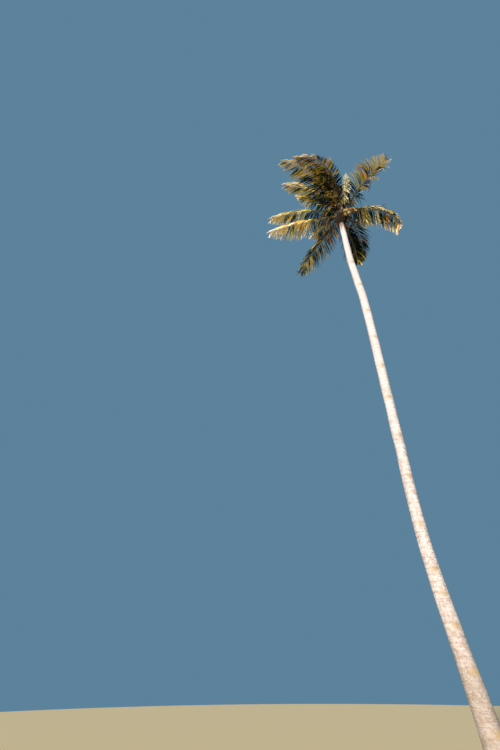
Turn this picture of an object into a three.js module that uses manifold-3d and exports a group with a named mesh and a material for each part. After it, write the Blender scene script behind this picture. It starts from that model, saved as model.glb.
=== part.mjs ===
// A coconut palm: a tall leaning trunk with a flared foot, the bulb of leaf bases on its top, feather
// fronds blown to one side, a young spear leaf and a bunch of nuts.
// Millimetres, +Z up. The origin is the middle of the flat cut under the trunk, at ground level.
import * as THREE from "three";
import { mergeVertices } from "three/addons/utils/BufferGeometryUtils.js";
import Module from "manifold-3d";

const wasm = await Module();
wasm.setup();

// Air between pieces that meet, and between a leaflet and any other piece.
const SEAT_GAP = 0.3;
const LEAFLET_GAP = 2;

// The trunk's height, and its radius as a plain shaft, a slow swelling, a root flare and a taper.
const TRUNK_TOP = 18400;
const SHAFT_RADIUS = 150;
const SWELL = { radius: 122, reach: 2600 };
const FLARE = { radius: 80, reach: 250 };
const TAPER = { radius: 27.5, start: 13000, span: 4300 };
const TRUNK_SIDES = 18;
const TRUNK_RINGS = 26;
const RING_CROWDING = 1.6;

// The trunk's centre line at a few heights: it leans early and then rises nearly straight.
const LEAN = [
  { height: 0, x: 0, y: 0 },
  { height: 1560, x: -226, y: 20 },
  { height: 4600, x: -580, y: 70 },
  { height: 8200, x: -685, y: 110 },
  { height: 13500, x: -820, y: 90 },
  { height: 15900, x: -1020, y: 40 },
  { height: TRUNK_TOP, x: -1100, y: 0 },
];

// The bulb of leaf bases: its radius at heights over the trunk's top, and how far it leans.
const HEART = [
  { height: 0, radius: 118 },
  { height: 110, radius: 165 },
  { height: 330, radius: 205 },
  { height: 620, radius: 200 },
  { height: 950, radius: 160 },
  { height: 1200, radius: 105 },
  { height: 1380, radius: 50 },
];
const HEART_WIDEST = Math.max(...HEART.map((ring) => ring.radius));
const HEART_LEAN = 0.2;
const HEART_SIDES = 20;

// A frond's foot: where its spine starts as a share of the bulb's radius, and how high for its rise.
const FOOT_SHARE = 0.45;
const FOOT_BASE = 250;
const FOOT_PER_DEGREE = 12.5;

// The spine's half width and half depth at its foot on the widest part of the bulb, where the
// leaflets start and at the tip.
const FOOT_SECTION = { half: 54, depth: 30 };
const NECK_SECTION = { half: 34, depth: 22 };
const TIP_SECTION = { half: 7, depth: 7 };
const NECK_AT = 0.14;
const SPINE_STEPS = 64;
const PETIOLE_RINGS = 4;
const DROOP_POWER = 1.5;

// Where along the spine the leaflets start, how many a side, and how large they are.
const BLADE_START = 0.12;
const LEAFLETS_A_SIDE = 20;
const LEAFLET_LENGTH = 960;
const LEAFLET_WIDTH = 100;
const LEAFLET_SLIMNESS = 80;
const RIDGE_SHARE = 0.5;
const LENGTH_ARC = { start: 0.18, tip: 0.9 };
const BENDS = { inner: 0.25, outer: 0.75 };
const LEAST_AWAY = { inner: 0.85, outer: 0.25 };
const SPREAD_AT_START = 72;
const SPREAD_AT_TIP = 32;
const SHORTER_TRIES = [1, 0.75, 0.5];

// The wind comes from +X and blows a little towards -Y and up.
const WIND = new THREE.Vector3(-1, -0.15, 0.1);
const UP = new THREE.Vector3(0, 0, 1);

// Each frond by the way it points (degrees from +X towards +Y), its rise at the foot, its length,
// how far it droops by its tip, how far the wind sweeps its spine and blows its leaflets, how much
// its leaflets hang, the lift of its foot where neighbours crowd, and how far the leaflets on its
// left and right dip below its own plane.
const FRONDS = [
  { way: -26, rise: 41, length: 2800, droop: 40, sweep: 0, blow: 1.1, hang: 0.1, lift: 0, dips: [-10, 5] },
  { way: 24, rise: 35, length: 3600, droop: 149, sweep: 0.1, blow: 0.1, hang: 2.8, lift: 0, dips: [30, 25] },
  { way: 75, rise: 40, length: 3500, droop: 119, sweep: 0.5, blow: 0.1, hang: 1.3, lift: 0, dips: [30, 35] },
  { way: 79, rise: 0, length: 2250, droop: 71, sweep: 0.2, blow: 0.1, hang: 1.2, lift: 0, dips: [35, 35] },
  { way: 140, rise: 11, length: 3300, droop: 52, sweep: 0.2, blow: 0.1, hang: 0.6, lift: 0, dips: [40, 22] },
  { way: 128, rise: 43, length: 2900, droop: 35, sweep: 0.4, blow: 0.3, hang: 0.5, lift: 0, dips: [40, 22] },
  { way: 178, rise: 24, length: 3550, droop: 36, sweep: 0.3, blow: 0.3, hang: 0.8, lift: 0, dips: [60, 30] },
  { way: 176, rise: 42, length: 3900, droop: 41, sweep: 0.3, blow: 0.5, hang: 0.7, lift: 0, dips: [55, 30] },
  { way: 167, rise: 61, length: 3450, droop: 10, sweep: 0.3, blow: 0.8, hang: 0.4, lift: 0, dips: [40, 22] },
  { way: 198, rise: 60, length: 3450, droop: 40, sweep: 0.5, blow: 0.9, hang: 0.3, lift: 60, dips: [50, -15] },
  { way: 242, rise: 45, length: 3700, droop: 73, sweep: 0.8, blow: 0.7, hang: 0.9, lift: 0, dips: [60, 25] },
  { way: 268, rise: 47, length: 3600, droop: 96, sweep: 2.4, blow: 0.8, hang: 0.9, lift: 0, dips: [65, 0] },
  { way: 250, rise: 56, length: 2250, droop: 46, sweep: 0.4, blow: 0.8, hang: 0.5, lift: 60, dips: [35, 25] },
  { way: 64, rise: 56, length: 3350, droop: 62, sweep: 0.3, blow: 0.4, hang: 0.9, lift: 0, dips: [30, 35] },
  { way: 112, rise: 64, length: 3100, droop: 40, sweep: 0.1, blow: 0.6, hang: 0.6, lift: 60, dips: [25, 25] },
  { way: 95, rise: 75, length: 2900, droop: 34, sweep: 0.2, blow: 0.5, hang: 0.4, lift: 0, dips: [22, 22] },
];

// Two young leaves stand nearly upright in the middle, with short leaflets still half folded.
const YOUNG_LEAVES = [
  { way: 320, rise: 76, length: 1750, droop: 16, sweep: 0.1, blow: 0.5, hang: 0.1, lift: 20, dips: [22, 22] },
  { way: 10, rise: 85, length: 1900, droop: 8, sweep: 0.1, blow: 0.3, hang: 0, lift: -60, dips: [22, 22] },
];
const YOUNG_NAMES = ["young_leaf", "spear_leaf"];
const YOUNG = { slimness: 0.55, leaflet: 420, width: 70, perSide: 9 };

// The bunch of nuts: a bowed stalk out of the bulb, with the nuts set round its end.
const STALK = { way: -48, height: 520, reach: 430, drop: 230, half: 16, steps: 5 };
const NUTS = { count: 5, radius: 92, stretch: 1.18, ring: 76, spacing: 52, sides: 8, rings: 5 };
const GOLDEN_ANGLE = 137.5;

const COLOURS = {
  bark: new THREE.MeshStandardMaterial({ color: 0xb3a492, roughness: 0.9, metalness: 0 }),
  fibre: new THREE.MeshStandardMaterial({ color: 0x5a4632, roughness: 0.95, metalness: 0 }),
  frond: new THREE.MeshStandardMaterial({ color: 0x66702c, roughness: 0.6, metalness: 0 }),
  youngLeaf: new THREE.MeshStandardMaterial({ color: 0xb9b86e, roughness: 0.55, metalness: 0 }),
  nut: new THREE.MeshStandardMaterial({ color: 0x8a7a3c, roughness: 0.6, metalness: 0 }),
};

const radians = THREE.MathUtils.degToRad;
const lerp = THREE.MathUtils.lerp;

// A closed geometry through rings of points, each counter-clockwise seen from the last ring's end.
function loft(rings) {
  const starts = [];
  let count = 0;
  for (const ring of rings) {
    starts.push(count);
    count += ring.length;
  }
  const faces = [];
  for (let i = 0; i + 1 < rings.length; i += 1) {
    const lower = rings[i].length;
    const upper = rings[i + 1].length;
    for (let k = 0; k < Math.max(lower, upper); k += 1) {
      const a = starts[i] + (k % lower);
      const b = starts[i] + ((k + 1) % lower);
      const c = starts[i + 1] + (k % upper);
      const d = starts[i + 1] + ((k + 1) % upper);
      if (a !== b) faces.push(a, b, d);
      if (c !== d) faces.push(a, d, c);
    }
  }
  const last = rings.length - 1;
  for (let k = 1; k + 1 < rings[0].length; k += 1) faces.push(0, k + 1, k);
  for (let k = 1; k + 1 < rings[last].length; k += 1) {
    faces.push(starts[last], starts[last] + k, starts[last] + k + 1);
  }
  const geometry = new THREE.BufferGeometry().setFromPoints(rings.flat());
  geometry.setIndex(faces);
  return geometry;
}

// A closed geometry as a solid that can be joined and cut.
function solidOf(geometry) {
  const bare = geometry.clone();
  bare.deleteAttribute("normal");
  bare.deleteAttribute("uv");
  const merged = mergeVertices(bare);
  return new wasm.Manifold(new wasm.Mesh({
    numProp: 3,
    vertProperties: new Float32Array(merged.attributes.position.array),
    triVerts: new Uint32Array(merged.index.array),
  }));
}

// A solid as a geometry, of its largest body only, so that no loose scrap or sealed hollow is left.
function geometryOf(solid) {
  const bodies = solid.decompose().sort((a, b) => b.volume() - a.volume());
  const mesh = bodies[0].getMesh();
  const geometry = new THREE.BufferGeometry();
  geometry.setAttribute("position", new THREE.BufferAttribute(mesh.vertProperties, 3));
  geometry.setIndex(new THREE.BufferAttribute(mesh.triVerts, 1));
  geometry.computeVertexNormals();
  return geometry;
}

function meshOf(name, geometry, material) {
  const mesh = new THREE.Mesh(geometry, material);
  mesh.name = name;
  return mesh;
}

// A level ring of points round a centre.
function levelRing(centre, radius, sides) {
  return Array.from({ length: sides }, (_, k) => {
    const turn = (2 * Math.PI * k) / sides;
    const around = new THREE.Vector3(radius * Math.cos(turn), radius * Math.sin(turn), 0);
    return around.add(centre);
  });
}

// The trunk's centre at a height: a cubic from point to point that keeps its neighbours' slope.
function trunkCentre(height) {
  const last = LEAN.length - 1;
  let i = 0;
  while (i < last - 1 && height > LEAN[i + 1].height) i += 1;
  const from = LEAN[i];
  const to = LEAN[i + 1];
  const span = to.height - from.height;
  const t = (height - from.height) / span;
  const along = (key) => {
    const slope = (k) => {
      const before = LEAN[Math.max(k - 1, 0)];
      const after = LEAN[Math.min(k + 1, last)];
      return ((after[key] - before[key]) / (after.height - before.height)) * span;
    };
    const ease = t * t * (3 - 2 * t);
    const leave = t * (1 - t) * (1 - t) * slope(i);
    const enter = t * t * (1 - t) * slope(i + 1);
    return lerp(from[key], to[key], ease) + leave - enter;
  };
  return new THREE.Vector3(along("x"), along("y"), height);
}

function trunkRadius(height) {
  const swell = SWELL.radius * Math.exp(-height / SWELL.reach);
  const flare = FLARE.radius * Math.exp(-height / FLARE.reach);
  const taper = TAPER.radius * (Math.max(height - TAPER.start, 0) / TAPER.span) ** 2;
  return SHAFT_RADIUS + swell + flare - taper;
}

function makeTrunk() {
  const rings = [];
  for (let i = 0; i <= TRUNK_RINGS; i += 1) {
    const height = TRUNK_TOP * (i / TRUNK_RINGS) ** RING_CROWDING;
    rings.push(levelRing(trunkCentre(height), trunkRadius(height), TRUNK_SIDES));
  }
  return solidOf(loft(rings));
}

// The bulb's middle at a height over the trunk's top.
function heartCentre(height) {
  const top = trunkCentre(TRUNK_TOP);
  return new THREE.Vector3(top.x + HEART_LEAN * height, top.y, TRUNK_TOP + SEAT_GAP + height);
}

// The bulb, or with a margin the room that a frond's foot leaves round it.
function makeHeart(margin) {
  const rings = HEART.map(({ height, radius }) =>
    levelRing(heartCentre(height), radius + margin, HEART_SIDES));
  rings[0].forEach((point) => point.setZ(point.z - margin));
  rings.at(-1).forEach((point) => point.setZ(point.z + margin));
  return solidOf(loft(rings));
}

function heartRadius(height) {
  const above = Math.max(1, HEART.findIndex((ring) => ring.height >= height));
  const [from, to] = [HEART[above - 1], HEART[above]];
  return lerp(from.radius, to.radius, (height - from.height) / (to.height - from.height));
}

function footHeight(frond) {
  return FOOT_BASE + FOOT_PER_DEGREE * frond.rise + frond.lift;
}

// A frond's spine: points with the way along it, to its left and up out of it.
function spineOf(frond) {
  const out = new THREE.Vector3(Math.cos(radians(frond.way)), Math.sin(radians(frond.way)), 0);
  const left = new THREE.Vector3().crossVectors(UP, out);
  const height = footHeight(frond);
  const foot = heartCentre(height).addScaledVector(out, FOOT_SHARE * heartRadius(height));
  const points = [foot];
  for (let i = 0; i < SPINE_STEPS; i += 1) {
    const share = (i + 0.5) / SPINE_STEPS;
    const angle = radians(frond.rise - frond.droop * share ** DROOP_POWER);
    const along = out.clone().multiplyScalar(Math.cos(angle)).addScaledVector(UP, Math.sin(angle));
    along.addScaledVector(WIND, frond.sweep * share ** 3).normalize();
    points.push(points.at(-1).clone().addScaledVector(along, frond.length / SPINE_STEPS));
  }
  return points.map((point, i) => {
    const before = points[Math.max(i - 1, 0)];
    const after = points[Math.min(i + 1, SPINE_STEPS)];
    const along = after.clone().sub(before).normalize();
    const side = left.clone().addScaledVector(along, -left.dot(along)).normalize();
    return { point, along, side, rise: new THREE.Vector3().crossVectors(along, side) };
  });
}

// The spine's frame at a share of its length.
function frameAt(spine, share) {
  const place = Math.min(share * SPINE_STEPS, SPINE_STEPS - 1e-6);
  const from = spine[Math.floor(place)];
  const to = spine[Math.floor(place) + 1];
  const mixed = {};
  for (const key of ["point", "along", "side", "rise"]) {
    mixed[key] = from[key].clone().lerp(to[key], place - Math.floor(place));
  }
  return mixed;
}

// The spine's half width and half depth: it narrows fast to the neck, then slowly to the tip. Feet
// high on the bulb, where it is slim, are narrower.
function spineSection(share, clasp) {
  const beyond = share >= NECK_AT;
  const part = beyond ? (share - NECK_AT) / (1 - NECK_AT) : share / NECK_AT;
  const foot = {
    half: Math.max(FOOT_SECTION.half * clasp, NECK_SECTION.half),
    depth: Math.max(FOOT_SECTION.depth * clasp, NECK_SECTION.depth),
  };
  const [from, to] = beyond ? [NECK_SECTION, TIP_SECTION] : [foot, NECK_SECTION];
  return { half: lerp(from.half, to.half, part), depth: lerp(from.depth, to.depth, part) };
}

// The spine's rings of left, top and right points: a few on the bare stalk, then one at each side of
// every leaflet's root, with the leaflets left and right by turns.
function spineRings(frond, spine, size) {
  const clasp = heartRadius(footHeight(frond)) / HEART_WIDEST;
  const intervals = 2 * size.perSide;
  const shares = [];
  for (let i = 0; i < PETIOLE_RINGS; i += 1) shares.push((BLADE_START * i) / PETIOLE_RINGS);
  for (let i = 0; i <= intervals; i += 1) shares.push(lerp(BLADE_START, 1, i / intervals));
  return shares.map((share) => {
    const { point, side, rise } = frameAt(spine, share);
    const { half, depth } = spineSection(share, clasp);
    return [[half, -depth], [0, depth], [-half, -depth]].map(([across, up]) =>
      point.clone().addScaledVector(side, across * size.slimness).addScaledVector(rise, up * size.slimness));
  });
}

// One leaflet's rings, from its root on the spine to its tip: a thin blade with a ridge on top that
// leaves the spine at an angle, then hangs and gives to the wind, but never folds across the spine.
function leafletRings(frame, root, frond, hand, blade, length, width) {
  const spread = radians(lerp(SPREAD_AT_START, SPREAD_AT_TIP, blade));
  const dip = radians(frond.dips[hand > 0 ? 0 : 1]);
  const start = frame.along.clone().multiplyScalar(Math.cos(spread))
    .addScaledVector(frame.side, hand * Math.cos(dip) * Math.sin(spread))
    .addScaledVector(frame.rise, -Math.sin(dip) * Math.sin(spread));
  const bent = (half) => {
    const way = start.clone().addScaledVector(UP, -frond.hang * BENDS[half]);
    way.addScaledVector(WIND, frond.blow * BENDS[half]);
    const away = hand * way.dot(frame.side);
    const least = LEAST_AWAY[half] * way.clone().projectOnPlane(frame.side).length();
    return way.addScaledVector(frame.side, hand * Math.max(least - away, 0)).normalize();
  };
  const along = bent("inner");
  const across = frame.along.clone().addScaledVector(along, -frame.along.dot(along)).normalize();
  const out = new THREE.Vector3().crossVectors(along, across).multiplyScalar(-hand);
  const foot = root.back.clone().add(root.front).multiplyScalar(0.5);
  const middle = foot.clone().addScaledVector(along, length / 2);
  const tip = middle.clone().addScaledVector(bent("outer"), length / 2);
  const back = middle.clone().addScaledVector(across, -width / 2);
  const front = middle.clone().addScaledVector(across, width / 2);
  const ridge = middle.clone().addScaledVector(out, length / LEAFLET_SLIMNESS);
  return hand > 0
    ? [[root.back, root.ridge, root.front], [back, ridge, front], [tip]]
    : [[root.back, root.front, root.ridge], [back, front, ridge], [tip]];
}

// Whether two solids' boxes come within a gap of each other.
function boxesMeet(a, b, gap) {
  const first = a.boundingBox();
  const second = b.boundingBox();
  return [0, 1, 2].every((axis) =>
    first.min[axis] - gap < second.max[axis] && second.min[axis] - gap < first.max[axis]);
}

function isClear(piece, others) {
  return others.every((other) =>
    !boxesMeet(piece, other, LEAFLET_GAP) || piece.minGap(other, LEAFLET_GAP) >= LEAFLET_GAP);
}

// A frond as one closed body: the spine, and on it every leaflet that finds room. Each is tried at
// full length, then shorter, or left out, so that it touches nothing but its own root.
function makeFrond(frond, spine, size, others) {
  const rings = spineRings(frond, spine, size);
  const own = solidOf(loft(rings));
  const built = [];
  const points = rings.flat();
  const faces = [[0, 2, 1]];
  const tipCap = 3 * (rings.length - 1);
  faces.push([tipCap, tipCap + 1, tipCap + 2]);
  for (let i = 0; i + 1 < rings.length; i += 1) {
    const [left, top, right] = [3 * i, 3 * i + 1, 3 * i + 2];
    const [nextLeft, nextTop, nextRight] = [left + 3, top + 3, right + 3];
    faces.push([right, left, nextLeft], [right, nextLeft, nextRight]);
    const place = i - PETIOLE_RINGS;
    const hand = place % 2 === 0 ? 1 : -1;
    const leaflet = place < 0 ? null : findLeaflet(frond, spine, size, rings, i, hand, [others, built, own]);
    const grows = leaflet ? hand : 0;
    if (grows <= 0) faces.push([left, top, nextTop], [left, nextTop, nextLeft]);
    if (grows >= 0) faces.push([top, right, nextRight], [top, nextRight, nextTop]);
    if (!leaflet) continue;
    built.push(leaflet.solid);
    const ridge = points.push(leaflet.rings[0][hand > 0 ? 1 : 2]) - 1;
    const ring = leaflet.rings[1].map((point) => points.push(point) - 1);
    const tip = points.push(leaflet.rings[2][0]) - 1;
    const root = hand > 0 ? [left, ridge, nextLeft] : [right, nextRight, ridge];
    if (hand > 0) faces.push([left, top, ridge], [top, nextTop, ridge], [nextTop, nextLeft, ridge]);
    else faces.push([top, right, ridge], [nextRight, nextTop, ridge], [top, ridge, nextTop]);
    for (let k = 0; k < 3; k += 1) {
      const next = (k + 1) % 3;
      faces.push([root[k], root[next], ring[next]], [root[k], ring[next], ring[k]]);
      faces.push([ring[k], ring[next], tip]);
    }
  }
  const geometry = new THREE.BufferGeometry().setFromPoints(points);
  geometry.setIndex(faces.flat());
  return solidOf(geometry);
}

// The leaflet that grows between two rings of the spine, as long as there is room for, or nothing.
function findLeaflet(frond, spine, size, rings, i, hand, [others, built, own]) {
  const blade = (i - PETIOLE_RINGS + 0.5) / (2 * size.perSide);
  const frame = frameAt(spine, lerp(BLADE_START, 1, blade));
  const corner = hand > 0 ? 0 : 2;
  const back = rings[i][corner];
  const front = rings[i + 1][corner];
  const crest = rings[i][1].clone().add(rings[i + 1][1]).multiplyScalar(0.5);
  const ridge = back.clone().add(front).multiplyScalar(0.5).lerp(crest, RIDGE_SHARE);
  const full = size.leaflet * Math.sin(Math.PI * lerp(LENGTH_ARC.start, LENGTH_ARC.tip, blade));
  for (const share of SHORTER_TRIES) {
    const shape = leafletRings(frame, { back, ridge, front }, frond, hand, blade, full * share, size.width);
    const solid = solidOf(loft(shape));
    const blown = solidOf(loft(shape.slice(1)));
    if (isClear(solid, [...others, ...built]) && isClear(blown, [own])) return { rings: shape, solid };
  }
  return null;
}

// The bunch: a stalk that bows out and down, and nuts round its lower end in a rising spiral.
function makeNutBunch(room) {
  const way = radians(STALK.way);
  const out = new THREE.Vector3(Math.cos(way), Math.sin(way), 0);
  const side = new THREE.Vector3().crossVectors(UP, out);
  const curve = new THREE.QuadraticBezierCurve3(
    heartCentre(STALK.height),
    heartCentre(STALK.height).addScaledVector(out, STALK.reach),
    heartCentre(STALK.height - STALK.drop).addScaledVector(out, STALK.reach),
  );
  const rings = curve.getPoints(STALK.steps).map((point, i) => {
    const along = curve.getTangent(i / STALK.steps);
    const rise = new THREE.Vector3().crossVectors(along, side);
    return [[1, 0], [0, 1], [-1, 0], [0, -1]].map(([across, up]) =>
      point.clone().addScaledVector(side, across * STALK.half).addScaledVector(rise, up * STALK.half));
  });
  const pieces = [solidOf(loft(rings))];
  const end = curve.getPoint(1);
  for (let i = 0; i < NUTS.count; i += 1) {
    const turn = radians(GOLDEN_ANGLE * i);
    const nut = new THREE.SphereGeometry(NUTS.radius, NUTS.sides, NUTS.rings);
    nut.rotateX(Math.PI / 2);
    nut.scale(1, 1, NUTS.stretch);
    nut.translate(
      end.x + NUTS.ring * Math.cos(turn),
      end.y + NUTS.ring * Math.sin(turn),
      end.z + NUTS.spacing * (i - (NUTS.count - 1) / 2),
    );
    pieces.push(solidOf(nut));
  }
  return wasm.Manifold.union(pieces).subtract(room);
}

const trunk = makeTrunk();
const heart = makeHeart(0);
const footRoom = makeHeart(SEAT_GAP);
const nutBunch = makeNutBunch(footRoom);

// Every spine stands before the first leaflet, so that a leaflet keeps clear of all of them.
const grown = { leaflet: LEAFLET_LENGTH, width: LEAFLET_WIDTH, perSide: LEAFLETS_A_SIDE, slimness: 1 };
const frondName = (i) => `frond_${String(i + 1).padStart(2, "0")}`;
const leaves = [
  ...FRONDS.map((frond, i) => ({ name: frondName(i), frond, size: grown, material: COLOURS.frond })),
  ...YOUNG_LEAVES.map((frond, i) => (
    { name: YOUNG_NAMES[i], frond, size: YOUNG, material: COLOURS.youngLeaf })),
];
for (const leaf of leaves) {
  leaf.spine = spineOf(leaf.frond);
  leaf.solid = solidOf(loft(spineRings(leaf.frond, leaf.spine, leaf.size))).subtract(footRoom);
}
for (const leaf of leaves) {
  const others = [trunk, heart, nutBunch];
  for (const other of leaves) {
    if (other !== leaf) others.push(other.solid);
  }
  leaf.solid = makeFrond(leaf.frond, leaf.spine, leaf.size, others).subtract(footRoom);
}

const palm = new THREE.Group();
palm.name = "coconut_palm";
palm.add(meshOf("trunk", geometryOf(trunk), COLOURS.bark));
palm.add(meshOf("crown_heart", geometryOf(heart), COLOURS.fibre));
palm.add(meshOf("nut_bunch", geometryOf(nutBunch), COLOURS.nut));
for (const leaf of leaves) palm.add(meshOf(leaf.name, geometryOf(leaf.solid), leaf.material));

export default palm;
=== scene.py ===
"""A coconut palm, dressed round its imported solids.

A weathered trunk with ring scars stands on a mat of rootlets. On its top the heart of clasping leaf
bases holds sixteen feather fronds that the wind blows to one side, two young leaves and a bunch of
nuts. Metres, +Z up, with the origin in the middle of the flat cut at ground level.
"""

import logging
import math
from dataclasses import dataclass, field
from enum import Enum
from typing import Any, Sequence

import bmesh
import bpy
import numpy as np
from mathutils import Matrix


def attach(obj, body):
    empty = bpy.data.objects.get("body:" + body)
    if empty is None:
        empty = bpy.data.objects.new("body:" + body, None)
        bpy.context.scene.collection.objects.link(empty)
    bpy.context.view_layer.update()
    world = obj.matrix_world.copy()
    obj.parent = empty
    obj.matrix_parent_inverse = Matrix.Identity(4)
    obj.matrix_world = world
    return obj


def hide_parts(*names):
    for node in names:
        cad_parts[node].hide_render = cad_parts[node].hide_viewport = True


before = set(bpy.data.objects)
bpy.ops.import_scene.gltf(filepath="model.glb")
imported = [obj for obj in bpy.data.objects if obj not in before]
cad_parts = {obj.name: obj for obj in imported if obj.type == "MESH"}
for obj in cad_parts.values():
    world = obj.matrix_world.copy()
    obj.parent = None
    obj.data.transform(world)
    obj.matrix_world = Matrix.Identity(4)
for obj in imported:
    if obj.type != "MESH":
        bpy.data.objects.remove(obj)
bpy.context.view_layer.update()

LOG = logging.getLogger("coconut_palm")

Array = np.ndarray
Range = tuple[float, float]
Material = bpy.types.Material
Piece = bpy.types.Object
Socket = bpy.types.NodeSocket
Triple = tuple[float, float, float]
Wave = tuple[float, int, float]

UP = np.array((0.0, 0.0, 1.0))
# The wind comes from +X and blows a little towards -Y and up.
WIND = np.array((-1.0, -0.15, 0.1))
GOLDEN_ANGLE = math.radians(137.5)
TURN = 2 * math.pi
MM_PER_METRE = 1000.0

# Where Blender's Mix node keeps its colour inputs and output.
MIX_UNDER, MIX_OVER, MIX_RESULT = 6, 7, 2
# Dust and salt leave the leaflets and the fibres this share of a clean surface's shine.
DUSTY_SHINE = 0.22
# A drum's edge that rises less than this is part of a ring.
LEVEL_RISE = 1e-5
# Keeps a last step inside its table and a division clear of nought.
TINY = 1e-6
# Each leaflet reads the veins this much further across, so that no two are alike.
VEIN_SHIFT = 0.37
# The first of the random seeds of the fronds and of the young leaves.
FROND_SEED, YOUNG_SEED = 100, 200


def unit(vectors: Array) -> Array:
    """Scale vectors along the last axis to a length of one."""
    return vectors / np.linalg.norm(vectors, axis=-1, keepdims=True)


def eased(share: Array) -> Array:
    """Ease a share from 0 to 1 in and out, holding it at both ends."""
    share = np.clip(share, 0.0, 1.0)
    return share * share * (3 - 2 * share)


def upright_across(direction: Array, along: Array) -> Array:
    """The part of a direction that is square to another, at a length of one."""
    return unit(direction - (direction * along).sum(-1, keepdims=True) * along)


def level_way(turn: Array | float) -> Array:
    """The level direction at an angle from +X towards +Y."""
    return np.stack((np.cos(turn), np.sin(turn), np.zeros_like(turn, float)), axis=-1)


def turned_about(across: Array, over: Array, angle: Array) -> tuple[Array, Array]:
    """Turn two directions that are square to each other by an angle in their own plane."""
    cos, sin = np.cos(angle), np.sin(angle)
    return across * cos + over * sin, over * cos - across * sin


def waves(turn: Array, parts: Sequence[Wave]) -> Array:
    """Add up sine waves round the palm, each with its height, its lobes and its phase."""
    return sum(rise * np.sin(lobes * turn + phase) for rise, lobes, phase in parts)


def away_from(turn: Array, at: float) -> Array:
    """How far angles are from another one, from minus half a turn to half a turn."""
    return (turn - at + math.pi) % TURN - math.pi


def linear_colour(hex_colour: str) -> tuple[float, float, float, float]:
    """Turn an sRGB hex value into the linear colour that a shader takes.

    Args:
        hex_colour: Six hex digits after a hash sign.

    Returns:
        Red, green, blue and an alpha of one.
    """
    # The numbers are those of the sRGB standard.
    parts = [int(hex_colour[i:i + 2], 16) / 255 for i in (1, 3, 5)]
    red, green, blue = (c / 12.92 if c <= 0.04045 else ((c + 0.055) / 1.055) ** 2.4 for c in parts)
    return red, green, blue, 1.0


@dataclass(frozen=True)
class Layer:
    """A noise's colour laid over the rest, from where the noise starts to where it is full."""

    colour: str
    size_mm: float
    detail: float
    start: float
    full: float
    most: float = 1.0


@dataclass(frozen=True)
class Relief:
    """How strongly a pattern stands out on a surface, and how deep it is."""

    strength: float
    deep_mm: float


class Finish:
    """A material in the making, with its node tree and its surface shader."""

    def __init__(self, name: str) -> None:
        """Start a material with a shader and its output.

        Args:
            name: The material's name.
        """
        self.material = bpy.data.materials.new(name)
        self.material.use_nodes = True
        self.tree = self.material.node_tree
        self.tree.nodes.clear()
        self.shader = self.add("ShaderNodeBsdfPrincipled")
        self.add("ShaderNodeOutputMaterial", {"Surface": self.shader.outputs["BSDF"]})

    def add(self, kind: str, inputs: dict[Any, Any] | None = None,
            **settings: Any) -> bpy.types.Node:
        """Add a shader node with its settings, values and links.

        Args:
            kind: Blender's name for the node's type.
            inputs: What each input takes, by its name or number.
            settings: The node's own properties.

        Returns:
            The new node.
        """
        item = self.tree.nodes.new(kind)
        for key, value in settings.items():
            setattr(item, key, value)
        self.feed(item, inputs or {})
        return item

    def feed(self, item: bpy.types.Node, inputs: dict[Any, Any]) -> None:
        """Link or set a node's inputs.

        Args:
            item: The node.
            inputs: Another node's output, or else a fixed value, by the input's name or number.
        """
        for key, value in inputs.items():
            if isinstance(value, Socket):
                self.tree.links.new(value, item.inputs[key])
            else:
                item.inputs[key].default_value = value

    def lay(self, layer: Layer, place: Socket, under: Any) -> tuple[Socket, Socket]:
        """Lay a noise's colour over another colour.

        Args:
            layer: The colour and its noise.
            place: Where on the piece the noise is read.
            under: The lower colour, an output or a linear colour.

        Returns:
            The mixed colour, and the noise itself.
        """
        noise = self.add("ShaderNodeTexNoise", {
            "Vector": place, "Scale": MM_PER_METRE / layer.size_mm, "Detail": layer.detail})
        amount = self.add("ShaderNodeMapRange", {
            "Value": noise.outputs["Fac"], "From Min": layer.start, "From Max": layer.full,
            "To Max": layer.most})
        mix = self.add("ShaderNodeMix", {
            "Factor": amount.outputs["Result"], MIX_UNDER: under,
            MIX_OVER: linear_colour(layer.colour)}, data_type="RGBA")
        return mix.outputs[MIX_RESULT], noise.outputs["Fac"]

    def surface(self, height: Socket, relief: Relief, looks: dict[str, Any]) -> Material:
        """Give the surface its relief and its looks.

        Args:
            height: The pattern that is raised on it.
            relief: How the pattern stands out.
            looks: What each of the shader's inputs takes, by its name.

        Returns:
            The finished material.
        """
        bump = self.add("ShaderNodeBump", {
            "Height": height, "Strength": relief.strength,
            "Distance": relief.deep_mm / MM_PER_METRE})
        self.feed(self.shader, looks | {"Normal": bump.outputs["Normal"]})
        return self.material


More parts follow.
